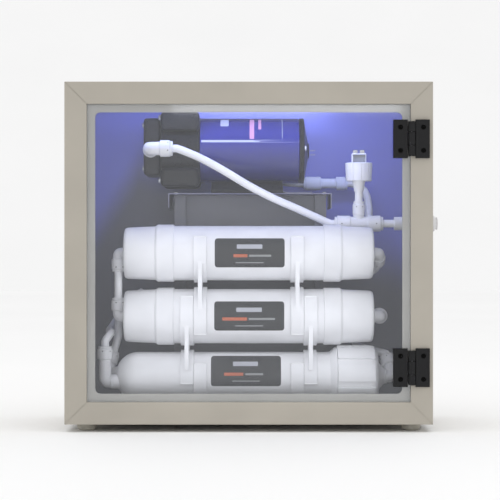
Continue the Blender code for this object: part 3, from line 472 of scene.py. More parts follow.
class WATER_OT_finishes(Operator):
    """Makes every finish that the pieces share"""

    bl_idname = "water.finishes"
    bl_label = "Finishes"

    def execute(self, context):
        scene = context.scene
        cabinet, filters, pump = scene.water_cabinet, scene.water_filters, scene.water_pump
        make_powder_coat("cabinet_paint", tuple(cabinet.paint), cabinet.grain)
        make_powder_coat("stop_paint", (0.510, 0.495, 0.450), cabinet.grain)
        make_lining_painted_light()
        make_powder_coat("stand_coat", (0.122, 0.122, 0.138), cabinet.grain)
        make_clear_sheet()
        plastic = tuple(filters.plastic)
        make_moulding("white_moulding", plastic, 0.32, Coat_Weight=0.15, Coat_Roughness=0.2)
        make_moulding("clip_moulding", scaled(plastic, 1.02), 0.38)
        make_moulding("acetal", scaled(plastic, 0.93), 0.36)
        # The check valve's pale blue is painted blue light on its white acetal.
        make_moulding("tinted_acetal", (0.80, 0.84, 0.98), 0.34)
        make_moulding("tube_plastic", scaled(plastic, 1.04), 0.30, 0.00002)
        make_moulding("black_moulding", (0.008, 0.008, 0.009), 0.30, 0.00001, Specular_IOR_Level=0.35)
        make_moulding("hinge_black", (0.008, 0.008, 0.009), 0.36, 0.00002, Specular_IOR_Level=0.25)
        make_moulding("rubber", (0.48, 0.46, 0.40), 0.70, 0.00010)
        make_moulding("motor_paint", tuple(pump.can), 0.24, 0.00002, Coat_Weight=0.6, Coat_Roughness=0.08)
        make_moulding("white_ink", (0.42, 0.43, 0.47), 0.5)
        make_moulding("grey_ink", (0.26, 0.27, 0.27), 0.5)
        make_moulding("red_ink", (0.52, 0.25, 0.34), 0.5)
        make_moulding("accent_ink", tuple(filters.accent), 0.5)
        make_moulding("label_film", tuple(filters.label), 0.34, 0.00001)
        make_moulding("carbon_block", (0.02, 0.02, 0.02), 0.9, 0.0004)
        make_steel("zinc_steel", (0.42, 0.42, 0.55), 0.34, (0.05, 1, 1))
        make_steel("bright_steel", (0.62, 0.63, 0.66), 0.25, (1, 1, 1))
        make_steel("black_steel", (0.006, 0.006, 0.006), 0.3, (1, 1, 1))
        return {"FINISHED"}


# ---------------------------------------------------------------- stage


class WATER_OT_stage(Operator):
    """Adds the camera, a pale floor that rises into a backdrop, and soft lights"""

    bl_idname = "water.stage"
    bl_label = "Stage"

    def execute(self, context):
        scene = context.scene
        stage = scene.water_stage
        level = (BOTTOM + TOP) / 2 + 0.0036
        camera = added("camera", bpy.ops.object.camera_add)
        camera.location = at(0.0015, -stage.distance, level)
        camera.rotation_euler = (math.radians(90), 0, 0)
        camera.data.lens = stage.lens
        camera.data.sensor_width = 36
        scene.camera = camera
        scene.view_settings.view_transform = "Standard"

        floor = added("floor", bpy.ops.mesh.primitive_plane_add, size=24, location=(0, 1.0, 0))
        settle(floor)
        bpy.ops.object.mode_set(mode="EDIT")
        bpy.ops.mesh.select_all(action="SELECT")
        bpy.ops.mesh.subdivide(number_cuts=3)
        bpy.ops.object.mode_set(mode="OBJECT")
        for point in floor.data.vertices:
            if point.co.y > 12:
                point.co.z = 4.0
        white = new_material("studio_white", (0.97, 0.97, 0.97), 0.9)
        ramp(white, noise(white, 0.8), "Fac", (0.96, 0.96, 0.96), (0.98, 0.98, 0.98))
        floor.data.materials.append(white)

        world = bpy.data.worlds.new("studio")
        scene.world = world
        world.use_nodes = True
        sky = world.node_tree.nodes["Background"]
        sky.inputs["Color"].default_value = (1.0, 1.0, 1.0, 1)
        sky.inputs["Strength"].default_value = stage.sky

        doorway, ceiling = at(0, -0.012, level - 0.01), at(0, 0.030, TOP - 0.020)
        glow = stage.glow
        white, pale, blue, cool = (1.0, 1.0, 1.0), (0.80, 0.92, 1.0), (0.46, 0.54, 1.0), (0.98, 0.98, 1.0)
        over_wall = at(0.012, 0.168, TOP - 0.012)
        lights = (
            ("key_light", (-0.9, -2.6, 1.5), (0, 0, 0.2), (1.6, 1.6), stage.key, (1.0, 0.99, 0.98)),
            ("fill_light", (1.4, -2.2, 0.9), (0, 0, 0.2), (1.4, 1.4), stage.key * 0.6, (0.97, 0.98, 1.0)),
            ("top_light", (0.0, -0.3, 2.2), (0, 0, 0.2), (1.8, 1.2), stage.key * 3, white),
            ("strip_light", (0.125, -4.1, 0.71), (0.125, 0, 0.71), (0.80, 0.028), 0.16, white),
            ("doorway_light", doorway, doorway + Vector((0, 1, -0.12)), (0.30, 0.27), glow, cool),
            ("ceiling_light", ceiling, at(0, 0.19, 0.32), (0.38, 0.016), glow * 2.1, blue),
            ("wall_light", over_wall, at(0.012, BACK, 0.365), (0.17, 0.01), glow * 0.25, pale),
        )
        for name, place, target, (width, height), power, colour in lights:
            light = added(name, bpy.ops.object.light_add, type="AREA")
            light.location = place
            aim = Vector(target) - light.location
            light.rotation_euler = aim.to_track_quat("-Z", "Y").to_euler()
            light.visible_camera = False
            light.visible_glossy = name not in ("doorway_light", "ceiling_light", "wall_light")
            light.data.shape = "RECTANGLE"
            light.data.size = width
            light.data.size_y = height
            light.data.energy = power
            light.data.color = colour
        return {"FINISHED"}


# ---------------------------------------------------------------- cabinet


def mitre_seams(name, width):
    """Four thin wedges that cut the seams from the frame's outer corners to the door opening."""
    length = FACE_WIDTH * math.sqrt(2) * 1.06
    tools = []
    height = (TOP - BOTTOM) / 2
    for side_x, side_z in CORNERS:
        place = at(
            side_x * (HALF_WIDTH - FACE_WIDTH / 2), 0, BOTTOM + height + side_z * (height - FACE_WIDTH / 2)
        )
        tool = added("seam", bpy.ops.mesh.primitive_cube_add, size=1, location=place)
        tool.scale = (length, 0.0012, width)
        tool.rotation_euler = (0, -side_x * side_z * math.radians(45), 0)
        tools.append(settle(tool))
    return joined(name, tools)


class WATER_OT_cabinet(Operator):
    """Builds the folded shell, the door stop, the back panel and its screws"""

    bl_idname = "water.cabinet"
    bl_label = "Cabinet"

    def execute(self, context):
        cabinet = context.scene.water_cabinet
        shell = soften(copied("cabinet_shell", "cabinet"), cabinet.fold / 2, 3, 40)
        boolean(shell, mitre_seams("seams", cabinet.seam))
        fit(shell, "cabinet_paint", "powder_coat", nodes=["cabinet_shell"])

        stop = soften(copied("door_stop_frame", "door_stop"), 0.0005)
        fit(stop, "stop_paint", "powder_coat", nodes=["door_stop_frame"])
        panel = soften(copied("back_panel", "rear_panel"), 0.0004)
        # The back panel's inner face takes the lining with its painted blue light and painted shade.
        fit(panel, "lining", "inner_sheet", nodes=["back_panel"])
        panel.data.materials.append(bpy.data.materials["cabinet_paint"])
        for face in panel.data.polygons:
            face.material_index = int(face.center.y > FRONT_Y + BACK - 0.0012)

        screws = []
        for x in (-0.19, -0.063, 0.063, 0.19):
            for z in (BOTTOM + 0.0085, TOP - 0.0085):
                screws.append(screw("screw", at(x, BACK, z), Y_AXIS, 0.0036, 0.0021, 0.0013))
        for x in (-HALF_WIDTH + 0.0085, HALF_WIDTH - 0.0085):
            for z in (BOTTOM + 0.13, TOP - 0.13):
                screws.append(screw("screw", at(x, BACK, z), Y_AXIS, 0.0036, 0.0021, 0.0013))
        fit(joined("back_panel_screws", screws), "bright_steel", "steel")
        return {"FINISHED"}


class WATER_OT_feet(Operator):
    """Builds the four rubber feet, each with its screw up in its recess"""

    bl_idname = "water.feet"
    bl_label = "Feet"

    def execute(self, context):
        top = BOTTOM - 0.0003
        profile = [
            (0.0042, 0.0041), (0.0002, 0.0041), (0, 0.0044), (0, 0.0086), (0.0006, 0.0097),
            (0.0026, 0.0111), (0.0048, 0.0115), (top - 0.0005, 0.0115), (top, 0.0111),
        ]
        screws = []
        for row in ("front", "rear"):
            for column in ("left", "right"):
                node = f"foot_{row}_{column}"
                place = middle(node)
                place.z = 0
                foot = turn(f"{node}_pad", place, Z_AXIS, profile, 48)
                fit(foot, "rubber", "foot_rubber", nodes=[node])
                screws.append(screw("screw", place + Z_AXIS * 0.0042, -Z_AXIS, 0.0034, 0.0020, 0.0013))
        fit(joined("foot_screws", screws), "bright_steel", "steel")
        return {"FINISHED"}


# ---------------------------------------------------------------- door


PIN_X = 0.1898
HINGE_PIN = at(PIN_X, -0.0045, 0)
HINGE_HOLES = (0.1769, 0.2036)  # x of the screws in the door's leaf and in the frame's leaf
HINGE_SPACING = 0.0272
LEAF_HALF = 0.0225
LEAF_THICK = 0.003
KNUCKLE = 0.0042
ARM_INSET = 0.0003  # keeps an arm's faces off the planes of its plate and of its barrel's ends


def hinge_leaf(name, z, plate_x, knuckles, hole_x):
    """A moulded leaf with a sunk panel, its knuckles round the pin, and two countersunk holes."""
    low = at(plate_x[0], -LEAF_THICK - SUNK, z - LEAF_HALF)
    high = at(plate_x[1], -SUNK, z + LEAF_HALF)
    leaf = box(name, low, high)
    pick_faces(leaf, lambda face: face.normal.y < -0.9)
    bpy.ops.mesh.inset(thickness=0.0019)
    bpy.ops.mesh.inset(thickness=0.0005, depth=-0.0005)
    close_edit()
    soften(leaf, 0.0004)
    near = min(plate_x, key=lambda x: abs(x - PIN_X))
    reach = 0.0012 if near > PIN_X else -0.0012
    for bottom, top in knuckles:
        span = sorted((PIN_X, near + reach))
        arm_low = at(span[0], -LEAF_THICK - SUNK + ARM_INSET, z + bottom + ARM_INSET)
        arm_high = at(span[1], -SUNK - ARM_INSET, z + top - ARM_INSET)
        boolean(leaf, box("arm", arm_low, arm_high), "UNION", gap=SLIVER)
        edge = 0.0004
        profile = [
            (bottom, KNUCKLE - edge), (bottom + edge, KNUCKLE), (top - edge, KNUCKLE),
            (top, KNUCKLE - edge),
        ]
        boolean(leaf, turn("barrel", HINGE_PIN + Z_AXIS * z, Z_AXIS, profile), "UNION", gap=SLIVER)
    bore = [(-0.03, 0.0019), (0.03, 0.0019)]
    boolean(leaf, turn("bore", HINGE_PIN + Z_AXIS * z, Z_AXIS, bore, 24), gap=SLIVER)
    for side in (-1, 1):
        place = at(hole_x, -LEAF_THICK - SUNK, z + side * HINGE_SPACING / 2)
        sink = [(-0.001, 0.0038), (0.0004, 0.0033), (0.0014, 0.0023), (0.005, 0.0023)]
        boolean(leaf, turn("sink", place, Y_AXIS, sink, 32), gap=SLIVER)
    return leaf


class WATER_OT_door(Operator):
    """Builds the clear door, its hinges and their black screws"""

    bl_idname = "water.door"
    bl_label = "Door"

    def execute(self, context):
        door = soften(copied("door_panel", "clear_door"), 0.0004)
        fit(door, "clear_acrylic", "acrylic", "door", ["door_panel"])
        centre_knuckle, low, high = 0.0077, 0.0080, 0.0202
        leaves = (
            ("door", "door", (0.1682, 0.1852), [(-centre_knuckle, centre_knuckle)], HINGE_HOLES[0]),
            ("frame", "root", (0.1944, 0.2109), [(-high, -low), (low, high)], HINGE_HOLES[1]),
        )
        for place in ("upper", "lower"):
            z = middle(f"hinge_{place}_pin").z
            paint_node(f"hinge_{place}_pin", "bright_steel")
            for side, body, plate_x, knuckles, hole_x in leaves:
                node = f"hinge_{place}_{side}_leaf"
                leaf = hinge_leaf(f"{node}_plate", z, plate_x, knuckles, hole_x)
                fit(leaf, "hinge_black", "black_plastic", body, [node])
                screws = []
                for end in (-1, 1):
                    head = at(hole_x, -LEAF_THICK + 0.0011, z + end * HINGE_SPACING / 2)
                    profile = [(-0.0006, 0.0028), (-0.0003, 0.0027), (0.0008, 0.0021), (0.0060, 0.0021)]
                    one = turn("screw", head, Y_AXIS, profile, 32)
                    socket = turn("socket", head, Y_AXIS, [(-0.002, 0.0012), (0.0004, 0.0012)], 6)
                    screws.append(boolean(one, socket))
                fit(joined(f"hinge_{place}_{side}_screws", screws), "black_steel", "black_plastic", body)
        return {"FINISHED"}


# ---------------------------------------------------------------- ports


PORT_DEPTH = 0.039  # how far a port's body reaches inside from the wall
PORTS = {
    "feed": (at(HALF_WIDTH, 0.079, 0.2446), X_AXIS),
    "permeate": (at(-0.138, BACK, 0.150), Y_AXIS),
    "drain": (at(-0.100, BACK, 0.150), Y_AXIS),
}


class WATER_OT_ports(Operator):
    """Builds the three bulkhead ports, their sliding collets and the nuts inside the walls"""

    bl_idname = "water.ports"
    bl_label = "Bulkhead ports"

    def execute(self, context):
        thread, inside = 0.0083, PORT_DEPTH
        for name, (wall, outwards) in PORTS.items():
            pitch = 0.0015
            ridges = []
            for number in range(12):
                ridges += [
                    (-0.008 - pitch * number, thread - 0.0005), (-0.008 - pitch * (number + 0.5), thread),
                ]
            body = [
                (0.0102, 0.0076), (0.0102, 0.0086), (0.0094, 0.0094), (0.0086, 0.0097), (0.0006, 0.0097),
                (0.0003, 0.0094), (0.0003, thread - 0.0003), *ridges, (-inside + 0.0155, thread),
                (-inside + 0.0150, thread - 0.0002), (-inside + 0.0004, thread - 0.0002),
                (-inside, thread - 0.0006), (-inside, 0.0051), (-inside + 0.013, 0.0051),
                (-inside + 0.013, 0.0032), (-0.004, 0.0032), (-0.004, 0.0051), (0.002, 0.0051),
                (0.002, 0.0076), (0.0102, 0.0076),
            ]
            fit(
                turn(f"{name}_bulkhead", wall, outwards, body, 48), "acetal", "fitting_plastic",
                nodes=[f"{name}_port_body"],
            )
            collet = [
                (0.0134, 0.0052), (0.0134, 0.0074), (0.0131, 0.0078), (0.0123, 0.0078), (0.0120, 0.0072),
                (0.0041, 0.0071), (0.0040, 0.0052), (0.0134, 0.0052),
            ]
            fit(
                turn(f"{name}_collet", wall, outwards, collet, 48), "white_moulding", "fitting_plastic",
                f"{name}_collet", [f"{name}_port_collet"],
            )
            nut = turn(f"{name}_nut", wall, outwards, [(-0.0085, 0.0138), (-0.0026, 0.0138)], 6)
            soften(nut, 0.0005)
            boolean(nut, turn("hole", wall, outwards, [(-0.01, thread + 0.0001), (0, thread + 0.0001)], 40))
            fit(nut, "acetal", "fitting_plastic")
        return {"FINISHED"}


# ---------------------------------------------------------------- filters and membrane


def decal(name, target, low, high, corner, lift, material, slot, side=-1):
    """A printed film: a rounded rectangle in strips, wrapped onto a round piece and given its thickness.

    low and high are (x, z) corners, and side is -1 where it lies on the piece's front.
    """
    centre = Vector(((low[0] + high[0]) / 2, 0, (low[1] + high[1]) / 2))
    place = at(centre.x, -0.2, centre.z)
    film = added(
        name, bpy.ops.mesh.primitive_plane_add, size=1, location=place,
        rotation=(-side * math.radians(90), 0, 0),
    )
    film.scale = (high[0] - low[0], high[1] - low[1], 1)
    settle(film)
    bpy.ops.object.mode_set(mode="EDIT")
    bpy.ops.mesh.select_all(action="SELECT")
    if corner:
        bpy.ops.mesh.bevel(offset=corner, segments=6, affect="VERTICES")
    strip = 0.0012
    for number in range(1, int((high[1] - low[1]) / strip)):
        bpy.ops.mesh.select_all(action="SELECT")
        bpy.ops.mesh.bisect(plane_co=(0, 0, low[1] + number * strip), plane_no=(0, 0, 1))
    bpy.ops.object.mode_set(mode="OBJECT")
    apply_modifier(
        film, "SHRINKWRAP", target=target, wrap_method="PROJECT", wrap_mode="ABOVE_SURFACE",
        use_project_y=True, use_project_z=False, use_positive_direction=True, use_negative_direction=False,
        offset=lift,
    )
    apply_modifier(film, "SOLIDIFY", thickness=0.0001, offset=1)
    return fit(film, material, slot)


def label(name, target, low, high, accent, note, rules):
    """A dark label with a light bar for its title, two short bars and a thin rule, and no lettering."""
    decal(f"{name}_label", target, low, high, 0.0034, 0.00005, "label_film", "black_plastic")
    ink_lift = 0.00016
    title, rule = rules
    decal(f"{name}_label_title", target, *title, 0.0004, ink_lift, "white_ink", "white_plastic")
    decal(f"{name}_label_accent", target, *accent, 0.0003, ink_lift, "accent_ink", "white_plastic")
    decal(f"{name}_label_note", target, *note, 0.0003, ink_lift, "grey_ink", "white_plastic")
    decal(f"{name}_label_rule", target, *rule, 0.0002, ink_lift, "grey_ink", "white_plastic")


class WATER_OT_filters(Operator):
    """Builds the two inline filters: a tube between two end caps, with a printed label"""

    bl_idname = "water.filters"
    bl_label = "Inline filters"

    def execute(self, context):
        sides = context.scene.water_filters.sides
        half = 0.1494
        end = [
            (half - 0.0030, 0.0062), (half - 0.0030, 0.0120), (half - 0.0006, 0.0130), (half, 0.0145),
            (half - 0.0002, 0.0180), (half - 0.0010, 0.0262), (half - 0.0018, 0.0288),
            (half - 0.0032, 0.0300), (half - 0.0060, 0.0307), (0.1130, 0.0320), (0.1112, 0.0321),
            (0.1090, 0.0338), (0.1080, 0.0342), (0.0896, 0.0342), (0.0890, 0.0338), (0.0890, 0.0326),
            (0.0886, 0.0325),
        ]
        outside = [(-x, radius) for x, radius in end] + end[::-1]
        labels = {
            "upper": ((-0.0400, 0.1922), (0.0423, 0.2263)),
            "lower": ((-0.0406, 0.1177), (0.0418, 0.1519)),
        }
        for name, (low, high) in labels.items():
            node = f"{name}_filter_shell"
            shell = turn(f"{name}_filter", middle(node), X_AXIS, outside, sides)
            fit(shell, "white_moulding", "white_plastic", nodes=[node], angle=28)
            paint_node(f"{name}_filter_media", "carbon_block")
            left, top = low[0], high[1]
            wide = name == "lower"
            accent_x = (left + (0.0095 if wide else 0.0220), left + 0.0385)
            note_x = (left + 0.0405, left + (0.0715 if wide else 0.0665))
            label(
                name,
                shell,
                low,
                high,
                ((accent_x[0], top - 0.0222), (accent_x[1], top - 0.0186)),
                ((note_x[0], top - 0.0216), (note_x[1], top - 0.0192)),
                (
                    ((left + 0.0260, top - 0.0122), (left + 0.0560, top - 0.0072)),
                    ((left + 0.0245, top - 0.0292), (left + 0.0575, top - 0.0279)),
                ),
            )
        return {"FINISHED"}


class WATER_OT_membrane(Operator):
    """Builds the membrane's domed housing, its ribbed screw cap and its label"""

    bl_idname = "water.membrane"
    bl_label = "Membrane housing"

    def execute(self, context):
        sides = context.scene.water_filters.sides
        centre = middle("membrane_cap")
        centre.x = CENTRE_X
        radius, dome_x, dome = 0.029, -0.133, 0.026
        steps = 10
        bend = [math.pi / 2 * number / steps for number in range(steps + 1)]
        outside = [(dome_x - dome * math.cos(a), max(radius * math.sin(a), 0.0005)) for a in bend]
        outside += [
            (0.0930, radius), (0.0965, 0.0296), (0.1015, 0.0340), (0.1035, 0.0352), (0.1047, 0.0352),
            (0.1047, 0.0316), (0.1470, 0.0316),
        ]
        housing = turn("membrane_body", centre, X_AXIS, outside, sides)
        for node in ("permeate_elbow", "drain_elbow"):
            boss_y, boss_z = (0.0420, 0.0560) if node == "permeate_elbow" else (0.0640, 0.0640)
            place = at(dome_x - dome - 0.0025, boss_y, boss_z)
            boss = turn("boss", place, X_AXIS, [(0, 0.0080), (0.0005, 0.0085), (0.013, 0.0085)], 40)
            boolean(housing, boss, "UNION")
        fit(housing, "white_moulding", "white_plastic", nodes=["membrane_housing"], angle=28)

        cap = turn(
            "membrane_screw_cap",
            centre,
            X_AXIS,
            [
                (0.1050, 0.0342), (0.1053, 0.0345), (0.1075, 0.0346), (0.1430, 0.0346), (0.1490, 0.0336),
                (0.1525, 0.0305), (0.1541, 0.0255), (0.1545, 0.0170), (0.1600, 0.0105), (0.1620, 0.0088),
            ],
            120,
        )
        self.add_grips(cap, centre)
        fit(cap, "white_moulding", "white_plastic", nodes=["membrane_cap"], angle=40)
        paint_node("membrane_element", "carbon_block")
        label(
            "membrane",
            housing,
            (-0.0446, 0.0521),
            (0.0381, 0.0869),
            ((-0.0290, 0.0644), (-0.0065, 0.0680)),
            ((-0.0040, 0.0650), (0.0170, 0.0674)),
            (((-0.0185, 0.0755), (0.0110, 0.0805)), ((-0.0195, 0.0575), (0.0130, 0.0588))),
        )
        return {"FINISHED"}

    def add_grips(self, cap, centre):
        """Eight broad grips stand out round the cap, with a groove between each and the next."""
        grips, groove, first = 8, math.radians(6.2), math.radians(148)
        step = 2 * math.pi / grips

        def on_grip(face):
            spot = face.center - centre
            angle = (math.atan2(spot.z, spot.y) - first) % step
            outer = math.hypot(spot.y, spot.z) > 0.0325 and 0.1060 < spot.x < 0.1510
            return outer and groove < angle < step - groove

        pick_faces(cap, on_grip)
        bpy.ops.mesh.extrude_region_shrink_fatten(TRANSFORM_OT_shrink_fatten={"value": 0.0025})
        close_edit()
        soften(cap, 0.0006, 2, 40)


# ---------------------------------------------------------------- clips


FILTER_Y = 0.050  # depth of the filters' axes
FILTER_RADIUS = 0.0325
MEMBRANE_RADIUS = 0.029
CLIP_WIDTH = 0.0154
CLIP_WALL = 0.0022
WEB_END = 0.0095  # how far a web stops short of each cylinder's centre


def arc_band(name, x, centre, inner, start, end):
    """A strip bent round the x direction from one angle to another; 0 points to the rear, a quarter up."""
    strip = added(name, bpy.ops.mesh.primitive_plane_add, size=1)
    middle_radius = inner + CLIP_WALL / 2
    pivot = at(x, *centre)
    size = Matrix.Diagonal((CLIP_WIDTH, CLIP_WALL, 1, 1))
    turned = Matrix.Rotation(start, 4, "X")
    strip.matrix_world = Matrix.Translation(pivot) @ turned @ Matrix.Translation((0, middle_radius, 0)) @ size
    settle(strip)
    bpy.ops.object.mode_set(mode="EDIT")
    bpy.ops.mesh.select_all(action="SELECT")
    bpy.ops.mesh.spin(steps=36, dupli=False, angle=end - start, center=pivot, axis=-X_AXIS)
    bpy.ops.object.mode_set(mode="OBJECT")
    return soften(outward(strip), 0.0004, 2, 50)


def clip(name, x, grips, foot):
    """C-shaped grips round cylinders, joined by a web or standing on a foot."""
    fit_gap = 0.0004
    piece = None
    for z, radius, opens, reach in grips:
        inner = radius + fit_gap
        past = math.asin(reach / inner)
        band = arc_band("band", x, (FILTER_Y, z), inner, -opens * (math.pi + past), opens * past)
        for angle in (-opens * (math.pi + past), opens * past):
            out = inner + CLIP_WALL / 2 + 0.0005
            place = at(x, FILTER_Y + out * math.cos(angle), z + out * math.sin(angle))
            half, bead, edge = CLIP_WIDTH / 2 - 0.0002, 0.0013, 0.0003
            lip = [(-half, bead - edge), (edge - half, bead), (half - edge, bead), (half, bead - edge)]
            boolean(band, turn("lip", place, X_AXIS, lip, 16), "UNION")
        piece = boolean(piece, band, "UNION") if piece else band
    if foot:
        z, radius = grips[0][:2]
        floor = BOTTOM + 0.0018
        post = box("post", at(x - CLIP_WIDTH / 2, 0.036, floor), at(x + CLIP_WIDTH / 2, 0.064, z - 0.02))
        outer = radius + CLIP_WALL
        tool = turn("tool", at(x, FILTER_Y, z), X_AXIS, [(-0.02, outer), (0.02, outer)], 72)
        boolean(post, tool)
        pad_low = at(x - CLIP_WIDTH / 2, 0.024, floor)
        boolean(post, box("pad", pad_low, at(x + CLIP_WIDTH / 2, 0.076, floor + 0.003)), "UNION")
        boolean(piece, soften(post, 0.0004), "UNION")
    else:
        (high, high_radius), (low, low_radius) = (grip[:2] for grip in grips)
        front = FILTER_Y - max(high_radius, low_radius) - fit_gap - CLIP_WALL + 0.0016
        web = box("web", at(x - 0.0024, front, low + WEB_END), at(x + 0.0024, 0.058, high - WEB_END))
        for z, radius in ((high, high_radius), (low, low_radius)):
            hollow = radius + fit_gap + CLIP_WALL * 0.3
            boolean(web, turn("tool", at(x, FILTER_Y, z), X_AXIS, [(-0.02, hollow), (0.02, hollow)], 72))
        boolean(piece, web, "UNION")
    piece.name = piece.data.name = name
    return piece


class WATER_OT_clips(Operator):
    """Builds the moulded clips that hold the filters above the membrane housing"""

    bl_idname = "water.clips"
    bl_label = "Clips"

    def execute(self, context):
        upper, lower = middle("upper_filter_shell").z, middle("lower_filter_shell").z
        membrane = middle("membrane_cap").z
        stacks = {
            "upper": (0.0574, [(upper, FILTER_RADIUS, 1, 0.0190), (lower, FILTER_RADIUS, -1, 0.0195)]),
            "lower": (0.0731, [(lower, FILTER_RADIUS, 1, 0.0230), (membrane, MEMBRANE_RADIUS, -1, 0.0065)]),
            "base": (0.0574, [(membrane, MEMBRANE_RADIUS, 1, 0.0160)]),
        }
        for stack, (x, grips) in stacks.items():
            for side, sign in (("left", -1), ("right", 1)):
                piece = clip(f"{stack}_{side}_clip", sign * x, grips, stack == "base")
                fit(piece, "clip_moulding", "white_plastic", nodes=[f"{stack}_clip_{side}"])
        return {"FINISHED"}


# ---------------------------------------------------------------- pump


SHAFT = at(0, 0.1145, 0.3346)


class WATER_OT_pump_head(Operator):
    """Builds the pump's ribbed head, its cover and their bolts"""

    bl_idname = "water.pump_head"
    bl_label = "Pump head"

    def execute(self, context):
        low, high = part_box("pump_head")
        length = high.x - low.x
        start = low.x - SHAFT.x
        end = start + length
        core = turn(
            "pump_head_casting", SHAFT, X_AXIS,
            [(start, 0.0370), (start + 0.001, 0.0395), (end - 0.001, 0.0395), (end, 0.038)],
            96,
        )
        half, column = (high.z - low.z) / 2, 0.0235
        for side_y, side_z in CORNERS:
            corner = SHAFT + Vector((0, side_y * half, side_z * half))
            inner = SHAFT + Vector((0, side_y * (half - column), side_z * (half - column)))
            first = Vector((low.x, min(corner.y, inner.y), min(corner.z, inner.z)))
            last = Vector((high.x, max(corner.y, inner.y), max(corner.z, inner.z)))
            boolean(core, box("column", first, last, 0.0060, 4), "UNION")
        chamber = [(start - 0.001, 0.024), (end + 0.001, 0.024)]
        boolean(core, turn("chamber", SHAFT, X_AXIS, chamber, 48))
        fit(core, "black_moulding", "black_plastic", nodes=["pump_head"])

        low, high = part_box("pump_head_cover")
        cover = box("pump_cover", low, high, 0.0045, 4)
        for side in (-1, 1):
            face = Vector((at(-0.119, 0, 0).x, SHAFT.y + side * (high.y - low.y + 0.002) / 2, 0.334))
            tool = turn("port", face, Vector((0, -side, 0)), [(0, 0.0058), (0.014, 0.0058)], 32)
            boolean(cover, tool)
        fit(cover, "black_moulding", "black_plastic", nodes=["pump_head_cover"])

        bolts = []
        head_half = 0.0455 - 0.0075
        for side_y, side_z in CORNERS:
            place = SHAFT + Vector((start, side_y * head_half, side_z * head_half))
            bolts.append(screw("bolt", place, -X_AXIS, 0.0034, 0.0026, 0.0016))
        middle_z = (low.z + high.z) / 2
        for side_y, side_z in CORNERS:
            place = Vector((low.x, SHAFT.y + side_y * 0.0262, middle_z + side_z * 0.0262))
            bolts.append(screw("bolt", place, -X_AXIS, 0.0030, 0.0018, 0.0014))
        fit(joined("pump_bolts", bolts), "bright_steel", "steel")
        return {"FINISHED"}


class WATER_OT_motor(Operator):
    """Builds the motor's can with its printed bars, its end cap, terminals, armature finish and base"""

    bl_idname = "water.motor"
    bl_label = "Pump motor"

    def execute(self, context):
        sides = context.scene.water_pump.sides
        low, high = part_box("pump_motor_can")
        first, last = low.x - SHAFT.x, high.x - SHAFT.x
        radius, wall = 0.040, 0.0015
        can = turn(
            "motor_can",
            SHAFT,
            X_AXIS,
            [
                (first, radius - 0.0003), (first + 0.0003, radius), (last - 0.0010, radius),
                (last, radius - 0.0008), (last, radius - wall), (first, radius - wall),
                (first, radius - 0.0003),
            ],
            sides,
        )
        fit(can, "motor_paint", "navy_paint", nodes=["pump_motor_can"])
        bars = (
            ("stripe", (-0.0576, 0.3429), (0.0609, 0.3457), "white_ink"),
            ("title", (0.0010, 0.3470), (0.0066, 0.3720), "red_ink"),
            ("subtitle", (0.0116, 0.3590), (0.0152, 0.3720), "red_ink"),
            ("badge", (-0.0345, 0.3630), (-0.0245, 0.3720), "white_ink"),
            ("rule", (0.0402, 0.3480), (0.0411, 0.3720), "grey_ink"),
        )
        for name, bar_low, bar_high, ink in bars:
            decal(f"motor_{name}", can, bar_low, bar_high, 0.0003, 0.00005, ink, "navy_paint")

        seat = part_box("pump_end_cap")[0].x - SHAFT.x
        end_cap = turn(
            "motor_end_cap",
            SHAFT,
            X_AXIS,
            [
                (seat + 0.0098, 0.0045), (seat + 0.0040, 0.0046), (seat + 0.0040, 0.0340), (seat, 0.0340),
                (seat, 0.0394), (seat + 0.0004, 0.0400), (seat + 0.0048, 0.0400), (seat + 0.0056, 0.0394),
                (seat + 0.0060, 0.0380), (seat + 0.0107, 0.0105), (seat + 0.0113, 0.0098),
                (seat + 0.0121, 0.0090), (seat + 0.0122, 0.0080), (seat + 0.0122, 0.0010),
            ],
            sides,
        )
        fit(end_cap, "black_moulding", "black_plastic", nodes=["pump_end_cap"])
        # A screw head on the end cap, made white as a painted highlight.
        highlight_spot = SHAFT + Vector((seat + 0.0066, -0.0340, 0.0015))
        highlight_screw = screw("motor_plug", highlight_spot, Vector((0.98, -0.17, 0)), 0.0030, 0.0014, 0.0010)
        fit(highlight_screw, "tube_plastic", "white_plastic")
        tabs = []
        for height in (0.0012, -0.0040):
            tab_low = SHAFT + Vector((seat + 0.0100, 0.012, height - 0.0003))
            tabs.append(box("tab", tab_low, tab_low + Vector((0.0110, 0.0048, 0.0006)), 0.0002))
        fit(joined("motor_terminals", tabs), "bright_steel", "steel")
        paint_node("pump_rotor", "bright_steel")

        base = soften(copied("pump_base", "motor_saddle"), 0.0012, 3, 40)
        fit(base, "black_moulding", "black_plastic", nodes=["pump_base"])
        return {"FINISHED"}


class WATER_OT_pump_support(Operator):
    """Builds the folded tray and stand under the pump, with their screws and the foot plate"""

    bl_idname = "water.pump_support"
    bl_label = "Pump support"

    def execute(self, context):
        tray = soften(copied("pump_tray", "tray"), 0.0011, 3, 40)
        fit(tray, "zinc_steel", "inner_sheet", nodes=["pump_tray"])
        stand = soften(copied("pump_stand", "stand"), 0.0006, 2, 40)
        fit(stand, "stand_coat", "inner_sheet", nodes=["pump_stand"])

        top = 0.2815
        screws = []
        for x in (-0.0885, 0.0915):
            for y in (0.085, 0.150):
                screws.append(screw("screw", at(x, y, top), Z_AXIS, 0.0030, 0.0019, 0.0013))
        fit(joined("tray_screws", screws), "bright_steel", "steel")

        line = [
            (0.0365, 0.2875), (0.0400, 0.2850), (0.0450, 0.2832),
            (0.0500, 0.2827), (0.0740, 0.2827), (0.0770, 0.2840),
        ]
        thick = 0.0009
        outline = [at(x, 0.088, z) for x, z in line] + [at(x, 0.088, z - thick) for x, z in reversed(line)]
        plate = prism("foot_plate", outline, Y_AXIS * 0.053)
        fit(soften(plate, 0.0002, 2, 50), "zinc_steel", "steel")
        return {"FINISHED"}


# ---------------------------------------------------------------- fittings


